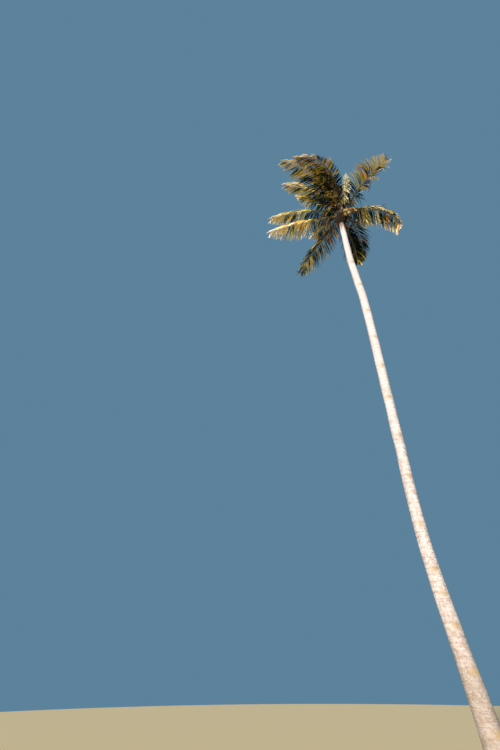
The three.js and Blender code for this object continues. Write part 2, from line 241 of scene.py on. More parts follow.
@dataclass(frozen=True)
class WeatheredPalmBark:
    """The rind of an old coconut palm, bleached by salt and sun.

    It grew as a smooth rind and has cracked along the stem. The eye sees a pale, dry and matt skin
    with blotches, fine upright streaks, darker scar rings and dark cracks, tan where feet have worn
    it, and red-brown where the rootlets break out of its foot.
    """

    pale: str = "#c9c0c1"
    blotch: Layer = Layer("#a49a97", size_mm=260.0, detail=3.0, start=0.42, full=0.62, most=0.85)
    stain: Layer = Layer("#ad978d", size_mm=90.0, detail=4.0, start=0.48, full=0.62, most=0.85)
    streak: Layer = Layer("#958b82", size_mm=14.0, detail=5.0, start=0.54, full=0.72, most=0.35)
    fleck: Layer = Layer("#74695f", size_mm=32.0, detail=2.0, start=0.55, full=0.66, most=0.60)
    lichen: Layer = Layer("#cfcbcb", size_mm=45.0, detail=3.0, start=0.52, full=0.60, most=0.85)
    # The colours of the trunk's own marks, each over the ones before it; the fibre brown at the top
    # is partly painted shade of the crown.
    marks: tuple[tuple[str, str], ...] = (
        ("low", "#695a3e"), ("high", "#cfc6c6"), ("worn", "#a08b62"), ("scar", "#8a7d73"),
        ("root", "#4a2f1f"), ("fibre", "#654830"), ("crack", "#5e5146"))
    streak_stretch: float = 0.09
    streak_relief: float = 0.5
    grain_mm: float = 5.0
    grain_detail: float = 3.0
    # The roughness at a stain's least and most.
    roughness: Range = (0.76, 0.96)
    relief: Relief = Relief(strength=0.6, deep_mm=3.0)

    def make(self) -> Material:
        """Build the bark's material on the trunk's own straightened place and marks.

        Returns:
            The material.
        """
        finish = Finish("weathered_palm_bark")
        place = finish.add("ShaderNodeAttribute", attribute_name="straight").outputs["Vector"]
        upright = finish.add("ShaderNodeMapping", {
            "Vector": place, "Scale": (1.0, 1.0, self.streak_stretch)})
        colour, _ = finish.lay(self.blotch, place, linear_colour(self.pale))
        colour, stains = finish.lay(self.stain, place, colour)
        colour, streaks = finish.lay(self.streak, upright.outputs["Vector"], colour)
        for layer in (self.fleck, self.lichen):
            colour, _ = finish.lay(layer, place, colour)
        for mark, over in self.marks:
            amount = finish.add("ShaderNodeAttribute", attribute_name=mark)
            mix = finish.add("ShaderNodeMix", {
                "Factor": amount.outputs["Fac"], MIX_UNDER: colour,
                MIX_OVER: linear_colour(over)}, data_type="RGBA")
            colour = mix.outputs[MIX_RESULT]
        grain = finish.add("ShaderNodeTexNoise", {
            "Vector": place, "Scale": MM_PER_METRE / self.grain_mm, "Detail": self.grain_detail})
        height = finish.add("ShaderNodeMath", {
            0: streaks, 1: self.streak_relief, 2: grain.outputs["Fac"]}, operation="MULTIPLY_ADD")
        dryness = finish.add("ShaderNodeMapRange", {
            "Value": stains, "To Min": self.roughness[0], "To Max": self.roughness[1]})
        return finish.surface(height.outputs["Value"], self.relief, {
            "Base Color": colour, "Roughness": dryness.outputs["Result"]})


@dataclass(frozen=True)
class PlantFibre:
    """Dry plant fibre: leaf-base matting, rootlets or husk threads.

    Long cell bundles dried in the air. The eye sees fine dull threads of uneven brown that run
    along the piece, light where they are frayed and nearly black between them.
    """

    name: str
    dark: str
    light: str
    thread_mm: float = 5.0
    thread_detail: float = 4.0
    stretch: float = 0.10
    # A tuft's width in threads, its detail, and how much it counts beside them.
    tuft_threads: float = 12.0
    tuft_detail: float = 3.0
    tuft_share: float = 0.6
    # Where the threads and tufts together start to turn light, and are fully light.
    light_range: Range = (0.62, 1.0)
    roughness: float = 0.93
    relief: Relief = Relief(strength=0.8, deep_mm=2.0)

    def make(self) -> Material:
        """Build the fibre's material on Object coordinates.

        Returns:
            The material.
        """
        finish = Finish(self.name)
        place = finish.add("ShaderNodeTexCoord").outputs["Object"]
        along = finish.add("ShaderNodeMapping", {
            "Vector": place, "Scale": (1.0, 1.0, self.stretch)})
        thread, tuft = (finish.add("ShaderNodeTexNoise", {
            "Vector": source, "Scale": MM_PER_METRE / size, "Detail": detail}).outputs["Fac"]
            for source, size, detail in (
                (along.outputs["Vector"], self.thread_mm, self.thread_detail),
                (place, self.tuft_threads * self.thread_mm, self.tuft_detail)))
        both = finish.add("ShaderNodeMath", {0: tuft, 1: self.tuft_share, 2: thread},
                          operation="MULTIPLY_ADD")
        amount = finish.add("ShaderNodeMapRange", {
            "Value": both.outputs["Value"], "From Min": self.light_range[0],
            "From Max": self.light_range[1]})
        colour = finish.add("ShaderNodeMix", {
            "Factor": amount.outputs["Result"], MIX_UNDER: linear_colour(self.dark),
            MIX_OVER: linear_colour(self.light)}, data_type="RGBA")
        return finish.surface(thread, self.relief, {
            "Base Color": colour.outputs[MIX_RESULT], "Roughness": self.roughness,
            "Specular IOR Level": DUSTY_SHINE})


class Fibre(Enum):
    """The palm's dry fibres."""

    # The matting's near-black is partly painted shade of the crown over the heart.
    MATTING = PlantFibre("leaf_base_matting", "#090604", "#34241a")
    CLOTH = PlantFibre("sheath_cloth", "#1c0f08", "#744b2f", thread_mm=4.0)
    ROOTLET = PlantFibre("root_matting", "#2c1a11", "#744a2f", thread_mm=8.0)
    WOODY = PlantFibre("nut_stalk_rind", "#5b4a24", "#b59a55", thread_mm=9.0, roughness=0.7)


@dataclass(frozen=True)
class LeafStalk:
    """A frond's midrib, from its clasping base to its tip.

    Hard fibrous green tissue with a waxy skin that dries from the base. The eye sees a brown and
    pinkish tan base with dark lengthways streaks, then a smooth yellow-green stalk with a soft
    shine, going to straw at the tip.
    """

    name: str
    # The base colour at shares of the way from foot to tip.
    stops: tuple[tuple[float, str], ...]
    streak: Layer = Layer("#5a4026", size_mm=7.0, detail=3.0, start=0.50, full=0.75, most=0.6)
    stretch: float = 0.06
    roughness: float = 0.5
    relief: Relief = Relief(strength=0.6, deep_mm=1.2)

    def make(self) -> Material:
        """Build the stalk's material on its own reach from foot to tip and way across.

        Returns:
            The material.
        """
        finish = Finish(self.name)
        reach = finish.add("ShaderNodeAttribute", attribute_name="reach")
        ramp = finish.add("ShaderNodeValToRGB", {"Fac": reach.outputs["Fac"]})
        points = ramp.color_ramp.elements
        while len(points) < len(self.stops):
            points.new(1.0)
        for point, (at, colour) in zip(points, self.stops):
            point.position = at
            point.color = linear_colour(colour)
        place = finish.add("ShaderNodeAttribute", attribute_name="vein")
        along = finish.add("ShaderNodeMapping", {
            "Vector": place.outputs["Vector"], "Scale": (1.0, self.stretch, 1.0)})
        colour, streaks = finish.lay(self.streak, along.outputs["Vector"], ramp.outputs["Color"])
        return finish.surface(streaks, self.relief, {
            "Base Color": colour, "Roughness": self.roughness})


# The clasping base of a grown frond is dead and dry at its foot.
DRY_BASE = ((0.0, "#3a271d"), (0.07, "#bb9780"))


class Rib(Enum):
    """The midribs: green with a dark ramp that is partly painted shade, paler where the sun bleaches
    them and partly painted sunlight, and young.
    """

    GREEN = LeafStalk("green_shaded_midrib", DRY_BASE + (
        (0.12, "#9a7a5c"), (0.2, "#4d4620"), (0.6, "#6b6428"), (1.0, "#cfae62")))
    SUNNED = LeafStalk("sunned_midrib", DRY_BASE + (
        (0.12, "#a68a62"), (0.2, "#8f9030"), (0.5, "#c2b04a"), (1.0, "#efd58c")))
    YOUNG = LeafStalk("young_midrib", (
        (0.0, "#9c8a55"), (0.3, "#bdb867"), (1.0, "#d3cd86")))


@dataclass(frozen=True)
class NutHusk:
    """The smooth outer skin of a ripening coconut.

    Waxy and tight when green, it tans in patches as it ripens. The eye sees olive and tan mottling
    with fine scratches from pole to pole under a soft shine.
    """

    green: str = "#7c7a34"
    tan: Layer = Layer("#8f6a3c", size_mm=85.0, detail=4.0, start=0.42, full=0.60)
    scratch: Layer = Layer("#4b3722", size_mm=6.0, detail=4.0, start=0.58, full=0.72, most=0.7)
    stretch: float = 0.12
    roughness: float = 0.46
    relief: Relief = Relief(strength=0.4, deep_mm=0.8)

    def make(self) -> Material:
        """Build the husk's material on Object coordinates.

        Returns:
            The material.
        """
        finish = Finish("coconut_husk")
        place = finish.add("ShaderNodeTexCoord").outputs["Object"]
        along = finish.add("ShaderNodeMapping", {
            "Vector": place, "Scale": (1.0, 1.0, self.stretch)})
        skin, _ = finish.lay(self.tan, place, linear_colour(self.green))
        marked, scratches = finish.lay(self.scratch, along.outputs["Vector"], skin)
        return finish.surface(scratches, self.relief, {
            "Base Color": marked, "Roughness": self.roughness})


@dataclass(frozen=True)
class LeafSkin:
    """One tint of palm leaflet: a thin waxed blade with close veins along it.

    The wax gives a soft shine while it is green, and the blade turns matt as it dries. The veins are
    1.5 mm apart on a real leaflet and are drawn 4 mm apart, so that they show.
    """

    colour: str
    roughness: float
    vein_mm: float = 4.0
    vein_detail: float = 1.0
    stretch: float = 0.02
    relief: Relief = Relief(strength=0.35, deep_mm=1.0)

    def make(self, name: str) -> Material:
        """Build the tint's plain-coloured material.

        Args:
            name: The material's name.

        Returns:
            The material.
        """
        finish = Finish(name)
        place = finish.add("ShaderNodeAttribute", attribute_name="vein")
        along = finish.add("ShaderNodeMapping", {
            "Vector": place.outputs["Vector"], "Scale": (1.0, self.stretch, 1.0)})
        veins = finish.add("ShaderNodeTexNoise", {
            "Vector": along.outputs["Vector"], "Scale": MM_PER_METRE / self.vein_mm,
            "Detail": self.vein_detail})
        return finish.surface(veins.outputs["Fac"], self.relief, {
            "Base Color": linear_colour(self.colour), "Roughness": self.roughness,
            "Specular IOR Level": DUSTY_SHINE})


class Tint(Enum):
    """The tints that are dealt out to the leaflets: green to bleached, then dead, then young."""

    # DEEP and GREEN are near black and stand partly for painted shade; GOLD and STRAW are brighter
    # than dry blades, partly as painted sunlight shining through them.
    DEEP = LeafSkin("#141203", 0.42)
    GREEN = LeafSkin("#343906", 0.42)
    OLIVE = LeafSkin("#7f7718", 0.45)
    LIME = LeafSkin("#cabd38", 0.45)
    GOLD = LeafSkin("#f2cc58", 0.52)
    STRAW = LeafSkin("#fbe08c", 0.60)
    BLEACHED = LeafSkin("#fbf1dc", 0.68)
    AMBER = LeafSkin("#c48835", 0.60)
    RUST = LeafSkin("#7e471b", 0.68)
    CREAM = LeafSkin("#efebbd", 0.45)


TINTS = list(Tint)
# The tint that each one dries to towards a leaflet's end.
DRIER = {Tint.DEEP: Tint.GREEN, Tint.GREEN: Tint.OLIVE, Tint.OLIVE: Tint.LIME,
         Tint.LIME: Tint.GOLD, Tint.GOLD: Tint.STRAW, Tint.STRAW: Tint.BLEACHED,
         Tint.BLEACHED: Tint.BLEACHED, Tint.AMBER: Tint.STRAW, Tint.RUST: Tint.AMBER,
         Tint.CREAM: Tint.BLEACHED}


def deselect_all() -> None:
    """Leave nothing selected, so that an operator acts only on what is chosen next."""
    bpy.ops.object.select_all(action="DESELECT")


def choose(piece: Piece) -> None:
    """Select one object alone and make it active.

    Args:
        piece: The object.
    """
    deselect_all()
    piece.select_set(True)
    bpy.context.view_layer.objects.active = piece


def smooth(piece: Piece, degrees: float) -> None:
    """Shade an object smooth.

    Args:
        piece: The object.
        degrees: The angle from which an edge is left crisp.
    """
    choose(piece)
    bpy.ops.object.shade_smooth_by_angle(angle=math.radians(degrees))
    deselect_all()


def read_points(piece: Piece) -> Array:
    """Read a mesh object's vertices.

    Args:
        piece: The object.

    Returns:
        Rows of x, y and z.
    """
    flat = np.zeros(len(piece.data.vertices) * 3)
    piece.data.vertices.foreach_get("co", flat)
    return flat.reshape(-1, 3)


def write_points(piece: Piece, points: Array) -> None:
    """Move a mesh object's vertices to rows of x, y and z."""
    piece.data.vertices.foreach_set("co", points.astype(np.float32).ravel())
    piece.data.update()


def hand_over(piece: Piece, nodes: Sequence[str]) -> None:
    """Fix a finished piece to the plant's body and report it.

    Args:
        piece: The finished object.
        nodes: The solids that it stands for.
    """
    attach(piece, "root")
    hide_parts(*nodes)
    LOG.info("%s: %d faces in place of %s", piece.name, len(piece.data.polygons), ", ".join(nodes))


@dataclass
class Stock:
    """An upright drum whose vertices know their ring and side, to be placed ring by ring."""

    body: Piece
    ring: Array
    side: Array

    @classmethod
    def turned(cls, name: str, sides: int, cuts: tuple[int, int]) -> "Stock":
        """Add a cylinder and subdivide its upright edges into rings.

        Args:
            name: The piece's name.
            sides: How many sides it has.
            cuts: The parts that the height is split into, and that each part is split into again.

        Returns:
            The drum, one unit in radius and height, with cuts[0] * cuts[1] rings above its foot.
        """
        deselect_all()
        bpy.ops.mesh.primitive_cylinder_add(vertices=sides, radius=1.0, depth=1.0)
        body = bpy.context.active_object
        body.name = body.data.name = name
        bpy.ops.object.mode_set(mode="EDIT")
        bpy.ops.mesh.select_mode(type="EDGE")
        for parts in cuts:
            bpy.ops.mesh.select_all(action="DESELECT")
            shape = bmesh.from_edit_mesh(body.data)
            for edge in shape.edges:
                rise = edge.verts[0].co.z - edge.verts[1].co.z
                edge.select_set(abs(rise) > LEVEL_RISE)
            bmesh.update_edit_mesh(body.data)
            bpy.ops.mesh.subdivide(number_cuts=parts - 1)
        bpy.ops.object.mode_set(mode="OBJECT")
        x, y, z = read_points(body).T
        ring = np.rint((z + 0.5) * cuts[0] * cuts[1]).astype(int)
        side = np.rint(np.arctan2(y, x) / TURN * sides).astype(int) % sides
        return cls(body, ring, side)

    def place(self, grid: Array) -> None:
        """Put each vertex where a grid of rings and sides says."""
        write_points(self.body, grid[self.ring, self.side])

    def mark(self, name: str, grid: Array) -> None:
        """Keep a value or a vector of each ring and side as a named attribute.

        Args:
            name: The attribute's name.
            grid: Values by ring and side, or vectors by ring, side and axis.
        """
        values = grid[self.ring, self.side].astype(np.float32)
        kind, key = ("FLOAT", "value") if values.ndim == 1 else ("FLOAT_VECTOR", "vector")
        layer = self.body.data.attributes.new(name, kind, "POINT")
        layer.data.foreach_set(key, values.ravel())


@dataclass
class Batch:
    """Many small closed shapes that end up as one mesh."""

    points: list[Array] = field(default_factory=list)
    faces: list[Array] = field(default_factory=list)
    tints: list[Array] = field(default_factory=list)
    veins: list[Array] = field(default_factory=list)
    count: int = 0

    def add_strips(self, rings: Array, tints: Array | None = None, veins: Array | None = None,
                   tips: Array | None = None) -> None:
        """Add a batch of closed strips that all have the same rings.

        Args:
            rings: Points by strip, ring and corner, counter-clockwise seen from the tip.
            tints: The tint's number of each strip's rings, or None for the first material.
            veins: Place across and along, by strip, ring and corner, or None for no place.
            tips: The end point of each strip, or None for a flat end.
        """
        if tints is None:
            tints = np.zeros(rings.shape[:2], int)
        if veins is None:
            veins = np.zeros(rings.shape[:3] + (2,))
        strips, _, corners = rings.shape[:3]
        index = self.count + np.arange(rings[..., 0].size).reshape(rings.shape[:3])
        turned = np.roll(index, -1, axis=2)
        walls = np.stack((index[:, :-1], turned[:, :-1], turned[:, 1:], index[:, 1:]), axis=-1)
        self.faces.append(walls.reshape(-1, 4))
        self.tints.append(np.repeat(tints[:, :-1], corners, axis=1).ravel())
        self.faces.append(index[:, 0, ::-1])
        self.tints.append(tints[:, 0])
        self.points.append(rings.reshape(-1, 3))
        self.veins.append(veins.reshape(-1, 2))
        self.count += index.size
        if tips is None:
            self.faces.append(index[:, -1])
            self.tints.append(tints[:, -1])
            return
        ends = np.repeat(self.count + np.arange(strips), corners)
        last = np.stack((index[:, -1].ravel(), turned[:, -1].ravel(), ends), axis=-1)
        self.faces.append(last)
        self.tints.append(np.repeat(tints[:, -1], corners))
        self.points.append(tips)
        self.veins.append(veins[:, -1].mean(axis=1))
        self.count += strips

    def add_strands(self, paths: Array, radii: Array, ref: Array, corners: int) -> None:
        """Add closed round strands along paths.

        Args:
            paths: Points by strand and station.
            radii: The radius by strand and station.
            ref: For each strand, a direction that it doesn't run along.
            corners: How many sides a strand has.
        """
        along = unit(np.gradient(paths, axis=1))
        first = upright_across(np.broadcast_to(ref[:, None], paths.shape), along)
        second = np.cross(along, first)
        turn = TURN * np.arange(corners) / corners
        rings = paths[:, :, None] + radii[:, :, None, None] * (
            first[:, :, None] * np.cos(turn)[:, None] + second[:, :, None] * np.sin(turn)[:, None])
        self.add_strips(rings)

    def build(self, name: str, materials: Sequence[Material], crease: float | None = None) -> Piece:
        """Make the batch one mesh object.

        Args:
            name: The piece's name.
            materials: The materials that the tints number.
            crease: The angle in degrees from which an edge is left crisp, or None for flat faces.

        Returns:
            The object, at the origin, with only the materials that it uses.
        """
        mesh = bpy.data.meshes.new(name)
        faces = [face for block in self.faces for face in block.tolist()]
        mesh.from_pydata(np.concatenate(self.points).tolist(), [], faces)
        numbers = np.concatenate(self.tints)
        used = np.unique(numbers)
        for number in used:
            mesh.materials.append(materials[number])
        mesh.polygons.foreach_set("material_index", np.searchsorted(used, numbers).astype(np.int32))
        veins = np.concatenate(self.veins)
        layer = mesh.attributes.new("vein", "FLOAT_VECTOR", "POINT")
        flat = np.column_stack((veins, np.zeros(len(veins)))).astype(np.float32)
        layer.data.foreach_set("vector", flat.ravel())
        mesh.update()
        piece = bpy.data.objects.new(name, mesh)
        bpy.context.scene.collection.objects.link(piece)
        if crease is not None:
            smooth(piece, crease)
        return piece


@dataclass
class Studio:
    """The camera at the photograph's viewing angle, a pale floor and soft light."""

    camera_place: Triple = (-0.513, -12.783, 1.65)
    camera_rise: float = 34.84
    camera_turn: float = 21.5
    camera_reach: float = 400.0
    focal_pixels: float = 431.0
    frame_height_pixels: float = 750.0
    sensor_mm: float = 36.0
    floor_radius: float = 26.0
    floor_sides: int = 96
    floor_drop: float = 0.002
    floor_colour: str = "#d4c094"
    floor_roughness: float = 0.9
    sky_colour: str = "#75a4c4"
    sky_strength: float = 0.60
    sun_colour: str = "#fff1e0"
    sun_strength: float = 7.0
    sun_softness: float = 4.0
    sun_way: float = 264.0
    sun_height: float = 18.0

    def build(self) -> None:
        """Make the camera first, then the floor and the lights."""
        self.build_camera()
        self.build_floor()
        self.build_light()

    def build_camera(self) -> None:
        """Set the camera where the photograph was taken, turned up at the crown."""
        lens = bpy.data.cameras.new("view")
        lens.sensor_width = self.sensor_mm
        lens.lens = self.focal_pixels * self.sensor_mm / self.frame_height_pixels
        lens.clip_end = self.camera_reach
        camera = bpy.data.objects.new("view", lens)
        camera.location = self.camera_place
        camera.rotation_euler = (math.radians(90 + self.camera_rise), 0.0,
                                 math.radians(self.camera_turn))
        bpy.context.scene.collection.objects.link(camera)
        bpy.context.scene.camera = camera

    def build_floor(self) -> None:
        """Lay a plain pale floor just under the foot."""
        deselect_all()
        bpy.ops.mesh.primitive_circle_add(vertices=self.floor_sides, radius=self.floor_radius,
                                          fill_type="NGON",
                                          location=(0.0, 0.0, -self.floor_drop))
        floor = bpy.context.active_object
        floor.name = "floor"
        finish = Finish("pale_floor")
        finish.feed(finish.shader, {"Base Color": linear_colour(self.floor_colour),
                                    "Roughness": self.floor_roughness})
        floor.data.materials.append(finish.material)

    def build_light(self) -> None:
        """Light the palm with one soft warm sun from the left and a plain pale sky."""
        light = bpy.data.lights.new("sun", "SUN")
        light.energy = self.sun_strength
        light.color = linear_colour(self.sun_colour)[:3]
        light.angle = math.radians(self.sun_softness)
        sun = bpy.data.objects.new("sun", light)
        sun.rotation_euler = (math.radians(90 - self.sun_height), 0.0,
                              math.radians(self.sun_way + 90))
        bpy.context.scene.collection.objects.link(sun)
        world = bpy.data.worlds.new("sky")
        world.use_nodes = True
        sky = world.node_tree.nodes["Background"]
        sky.inputs["Color"].default_value = linear_colour(self.sky_colour)
        sky.inputs["Strength"].default_value = self.sky_strength
        bpy.context.scene.world = world
        bpy.context.scene.view_settings.view_transform = "Standard"


@dataclass
class Trunk:
    """The trunk: its lean and taper, ring scars, cracks, worn footholds and matted foot."""

    top: float = 18.4
    shaft_radius: float = 0.150
    swell_radius: float = 0.122
    swell_reach: float = 2.6
    flare_radius: float = 0.080
    flare_reach: float = 0.25
    taper_radius: float = 0.0275
    taper_start: float = 13.0
    taper_span: float = 4.3
    # The centre line's height, x and y at a few heights.
    lean: tuple[Triple, ...] = (
        (0.0, 0.0, 0.0), (1.56, -0.226, 0.020), (4.6, -0.580, 0.070), (8.2, -0.685, 0.110),
        (13.5, -0.820, 0.090), (15.9, -1.020, 0.040), (18.4, -1.100, 0.0))
    sides: int = 72
    cuts: tuple[int, int] = (100, 12)
    crease: float = 60.0
    seed: int = 11

    scars: int = 145
    # The lobes of the waves in a scar's line.
    scar_lobes: tuple[int, ...] = (2, 3, 5)
    # Where a scar's rings lie on the way to the next scar, and how the rind stands there.
    ring_shares: tuple[float, ...] = (0.0, 0.05, 0.11, 0.20, 0.36, 0.56, 0.76, 0.92)
    groove_shape: tuple[float, ...] = (1.0, 0.75, 0.30, 0.08, 0.0, 0.0, 0.0, 0.10)
    ledge_shape: tuple[float, ...] = (-0.2, -0.5, -0.4, -0.2, 0.1, 0.4, 0.8, 1.0)
    first_scar: float = 0.34
    # Scar spacing at a few heights: close at the foot, long in the middle, close under the crown.
    spacing: tuple[Range, ...] = (
        (0.0, 0.10), (3.0, 0.13), (9.0, 0.15), (15.0, 0.12), (18.4, 0.06))
    spacing_spread: float = 0.22
    # Scars at least this far apart are free to tilt and wave in full.
    free_spacing: float = 0.12
    scar_tilt: float = 0.011
    scar_wave: float = 0.004
    wave_spread: Range = (0.5, 1.2)
    # A scar's strength on its faint side, and how strong scars are beside one another.
    faint_side: float = 0.45
    strength_spread: Range = (0.55, 1.3)
    groove_depth: float = 0.0065
    ledge_height: float = 0.0035

    cracks: int = 120
    # Above one, this power crowds the cracks towards the foot.
    crack_crowding: float = 1.2
    crack_free_top: float = 1.0
    crack_length: Range = (0.12, 1.1)
    crack_depth: Range = (0.003, 0.007)
    crack_slant: float = 0.12
    crack_wobble: float = 0.03
    wobble_rise: float = 23.0
    crack_ends: float = 2.5

    lumps: int = 14
    lump_height: float = 0.0035
    lump_lobes: tuple[int, int] = (1, 6)
    lump_twist: float = 5.0
    skin_noise: float = 0.0006

    # Footholds worn by climbers: the heights read in the photograph, then one a step further up.
    footholds: tuple[float, ...] = (0.62, 1.70, 2.60, 3.30, 3.85)
    foothold_way: float = -64.0
    foothold_drift: float = 0.2
    foothold_step: float = 0.66
    step_spread: Range = (0.85, 1.15)
    foothold_free_top: float = 3.0
    foothold_size: Range = (0.13, 0.085)
    foothold_depth: float = 0.008
    foothold_edge: float = 1.5
    foothold_wear: Range = (0.55, 1.0)

    # The matted root zone, its uneven upper edge and its folds.
    root_height: float = 0.30
    root_edge: tuple[Wave, ...] = ((0.03, 4, 0.7), (0.025, 9, 0.0), (0.015, 23, 0.0))
    root_fade: float = 0.07
    root_folds: int = 17
    root_fold_sway: int = 3
    root_fold_height: float = 0.006

    # Fibre from the crown over the trunk's top, reaching down far as painted shade of the crown;
    # where the earthy foot ends and the smooth pale upper rind begins, each with the height over
    # which it fades.
    fibre_and_shade_height: float = 0.60
    fibre_and_shade_edge: tuple[Wave, ...] = ((0.12, 5, 1.0), (0.08, 11, 0.0))
    fibre_and_shade_fade: float = 0.45
    low_zone: Range = (4.4, 4.2)
    high_zone: Range = (6.0, 6.0)
    # How much of each mark's colour shows where the mark is full.
    mark_strength: tuple[tuple[str, float], ...] = (
        ("low", 0.55), ("high", 0.6), ("scar", 0.65), ("crack", 0.5), ("worn", 0.8),
        ("root", 0.9), ("fibre", 0.85))

    # Rootlets: how high they start, as a share of the root zone, and how they run to the ground.
    rootlets: int = 760
    rootlet_seed: int = 12
    rootlet_stations: int = 8
    rootlet_sides: int = 5
    rootlet_crease: float = 80.0
    rootlet_rise: Range = (0.25, 1.08)
    rootlet_radius: Range = (0.0022, 0.0048)
    rootlet_taper: float = 0.35
    rootlet_end: float = 0.0055
    rootlet_curve: Range = (0.9, 1.3)
    rootlet_drift: float = 0.10
    rootlet_wave: float = 0.012
    rootlet_waves: float = 9.0
    rootlet_proud: float = 0.010
    rootlet_arch: Range = (0.2, 0.8)
    rootlet_splay: float = 0.03
    rootlet_sink: float = 0.006
    sink_power: float = 6.0

    def __post_init__(self) -> None:
        """Start the bark's own random numbers and lay out the sides' angles."""
        self.rng = np.random.default_rng(self.seed)
        self.turn = TURN * np.arange(self.sides) / self.sides

    def centre(self, height: Array) -> Array:
        """Find the centre line, a cubic through the lean's points that keeps their slope.

        Args:
            height: Heights over the ground.

        Returns:
            The centre line's points at those heights.
        """
        keys = np.array(self.lean)
        heights, places = keys[:, 0], keys[:, 1:]
        last = len(keys) - 1
        i = np.clip(np.searchsorted(heights, height, side="left") - 1, 0, last - 1)
        span = (heights[i + 1] - heights[i])[..., None]
        t = (np.asarray(height) - heights[i])[..., None] / span

        def slope(k: Array) -> Array:
            """Find the slope at keys from the key before each to the one after it.

            Args:
                k: The keys' numbers.

            Returns:
                The slopes, over this span.
            """
            before, after = np.maximum(k - 1, 0), np.minimum(k + 1, last)
            run = places[after] - places[before]
            return run / (heights[after] - heights[before])[..., None] * span

        ease = t * t * (3 - 2 * t)
        line = places[i] + (places[i + 1] - places[i]) * ease
        line = line + t * (1 - t) ** 2 * slope(i) - t * t * (1 - t) * slope(i + 1)
        return np.concatenate((line, np.asarray(height)[..., None]), axis=-1)

    def radius(self, height: Array) -> Array:
        """Find the trunk's plain radius: shaft, swelling, root flare and taper.

        Args:
            height: Heights over the ground.

        Returns:
            The radius at those heights.
        """
        swell = self.swell_radius * np.exp(-height / self.swell_reach)
        flare = self.flare_radius * np.exp(-height / self.flare_reach)
        above = np.maximum(height - self.taper_start, 0) / self.taper_span
        return self.shaft_radius + swell + flare - self.taper_radius * above ** 2

    def scar_lines(self) -> tuple[Array, Array]:
        """Lay out the scar lines round the trunk.

        Returns:
            Each line's height at each side, and how strongly the scar shows there.
        """
        rng, turn = self.rng, self.turn
        levels, gaps = zip(*self.spacing)
        height = self.first_scar
        heights = [height]
        for _ in range(self.scars):
            uneven = 1 + self.spacing_spread * rng.uniform(-1, 1)
            height += np.interp(height, levels, gaps) * uneven
            heights.append(height)
        line = np.array(heights)
        room = self.top - self.first_scar
        line = self.first_scar + (line - line[0]) * room / (line[-1] - line[0])
        facing = (np.arange(len(line)) * GOLDEN_ANGLE)[:, None]
        rise = self.scar_tilt * np.cos(turn - facing)
        for lobes in self.scar_lobes:
            phase = rng.uniform(0, TURN, (len(line), 1))
            rise = rise + self.scar_wave / lobes ** 0.5 * np.cos(lobes * turn + phase)
        free = np.minimum(1.0, np.gradient(line) / self.free_spacing)[:, None]
        rise = rise * free * rng.uniform(*self.wave_spread, (len(line), 1))
        rise[-1] = 0.0
        faint = self.faint_side
        strength = faint + (1 - faint) * (0.5 + 0.5 * np.cos(turn - facing))
        strength = strength * rng.uniform(*self.strength_spread, (len(line), 1))
        return line[:, None] + rise, strength

    def build(self, bark: Material) -> Piece:
        """Model the trunk with its bark's relief.

        Args:
            bark: The bark's material.

        Returns:
            The trunk's object.
        """
        rng, turn = self.rng, self.turn
        rings = self.cuts[0] * self.cuts[1]
        lines, strength = self.scar_lines()
        foot_rings = rings - self.scars * len(self.ring_shares)
        foot = (np.arange(foot_rings) / foot_rings)[:, None] * lines[0]
        shares = np.array(self.ring_shares)[None, :, None]
        between = lines[:-1, None] * (1 - shares) + lines[1:, None] * shares
        height = np.concatenate((foot, between.reshape(-1, self.sides), lines[-1:]))

        def by_scar(shape: Sequence[float]) -> Array:
            """Spread a scar's profile over the trunk's rings, by each scar's strength.

            Args:
                shape: The profile, one value for each of a scar's rings.

            Returns:
                The profile at each ring and side.
            """
            body = np.array(shape)[None, :, None] * strength[:-1, None]
            clear = np.zeros((foot_rings, self.sides))
            return np.concatenate((clear, body.reshape(-1, self.sides), clear[:1]))

        groove = by_scar(self.groove_shape)
        relief = self.ledge_height * by_scar(self.ledge_shape) - self.groove_depth * groove
        for _ in range(self.lumps):
            lobes = rng.integers(*self.lump_lobes)
            twist = rng.uniform(-self.lump_twist, self.lump_twist)
            phase = rng.uniform(0, TURN)
            relief += self.lump_height / 4 * np.cos(lobes * turn + twist * height + phase)
        crack = self.cut_cracks(height)
        worn = self.wear_footholds(height)
        relief -= crack * self.crack_depth[1] + worn * self.foothold_depth
        root = eased((self.root_height + waves(turn, self.root_edge) - height) / self.root_fade)
        sway = self.root_fold_sway
        folds = np.cos(self.root_folds * turn + sway * np.sin(sway * turn))
        relief = relief * (1 - 0.5 * root) + root * self.root_fold_height * folds
        relief += rng.normal(0.0, self.skin_noise, relief.shape)
        relief[0] = relief[1]
        out = level_way(turn)
        reach = (self.radius(height) + relief)[..., None]
        stock = Stock.turned("trunk_bark", self.sides, self.cuts)
        stock.place(self.centre(height) + reach * out)
        stock.mark("straight", out * self.shaft_radius + height[..., None] * UP)
        # The fibre mark is partly brown fibre and partly painted shade of the crown on the trunk's
        # top.
        fibre_and_shade_foot = self.top - self.fibre_and_shade_height + waves(turn, self.fibre_and_shade_edge)
        marks = {"low": eased((self.low_zone[0] - height) / self.low_zone[1]),
                 "high": eased((height - self.high_zone[0]) / self.high_zone[1]),
                 "scar": np.clip(groove, 0, 1), "crack": crack, "worn": worn, "root": root,
                 "fibre": eased((height - fibre_and_shade_foot) / self.fibre_and_shade_fade)}
        for name, most in self.mark_strength:
            stock.mark(name, most * marks[name])
        stock.body.data.materials.append(bark)
        smooth(stock.body, self.crease)
        return stock.body

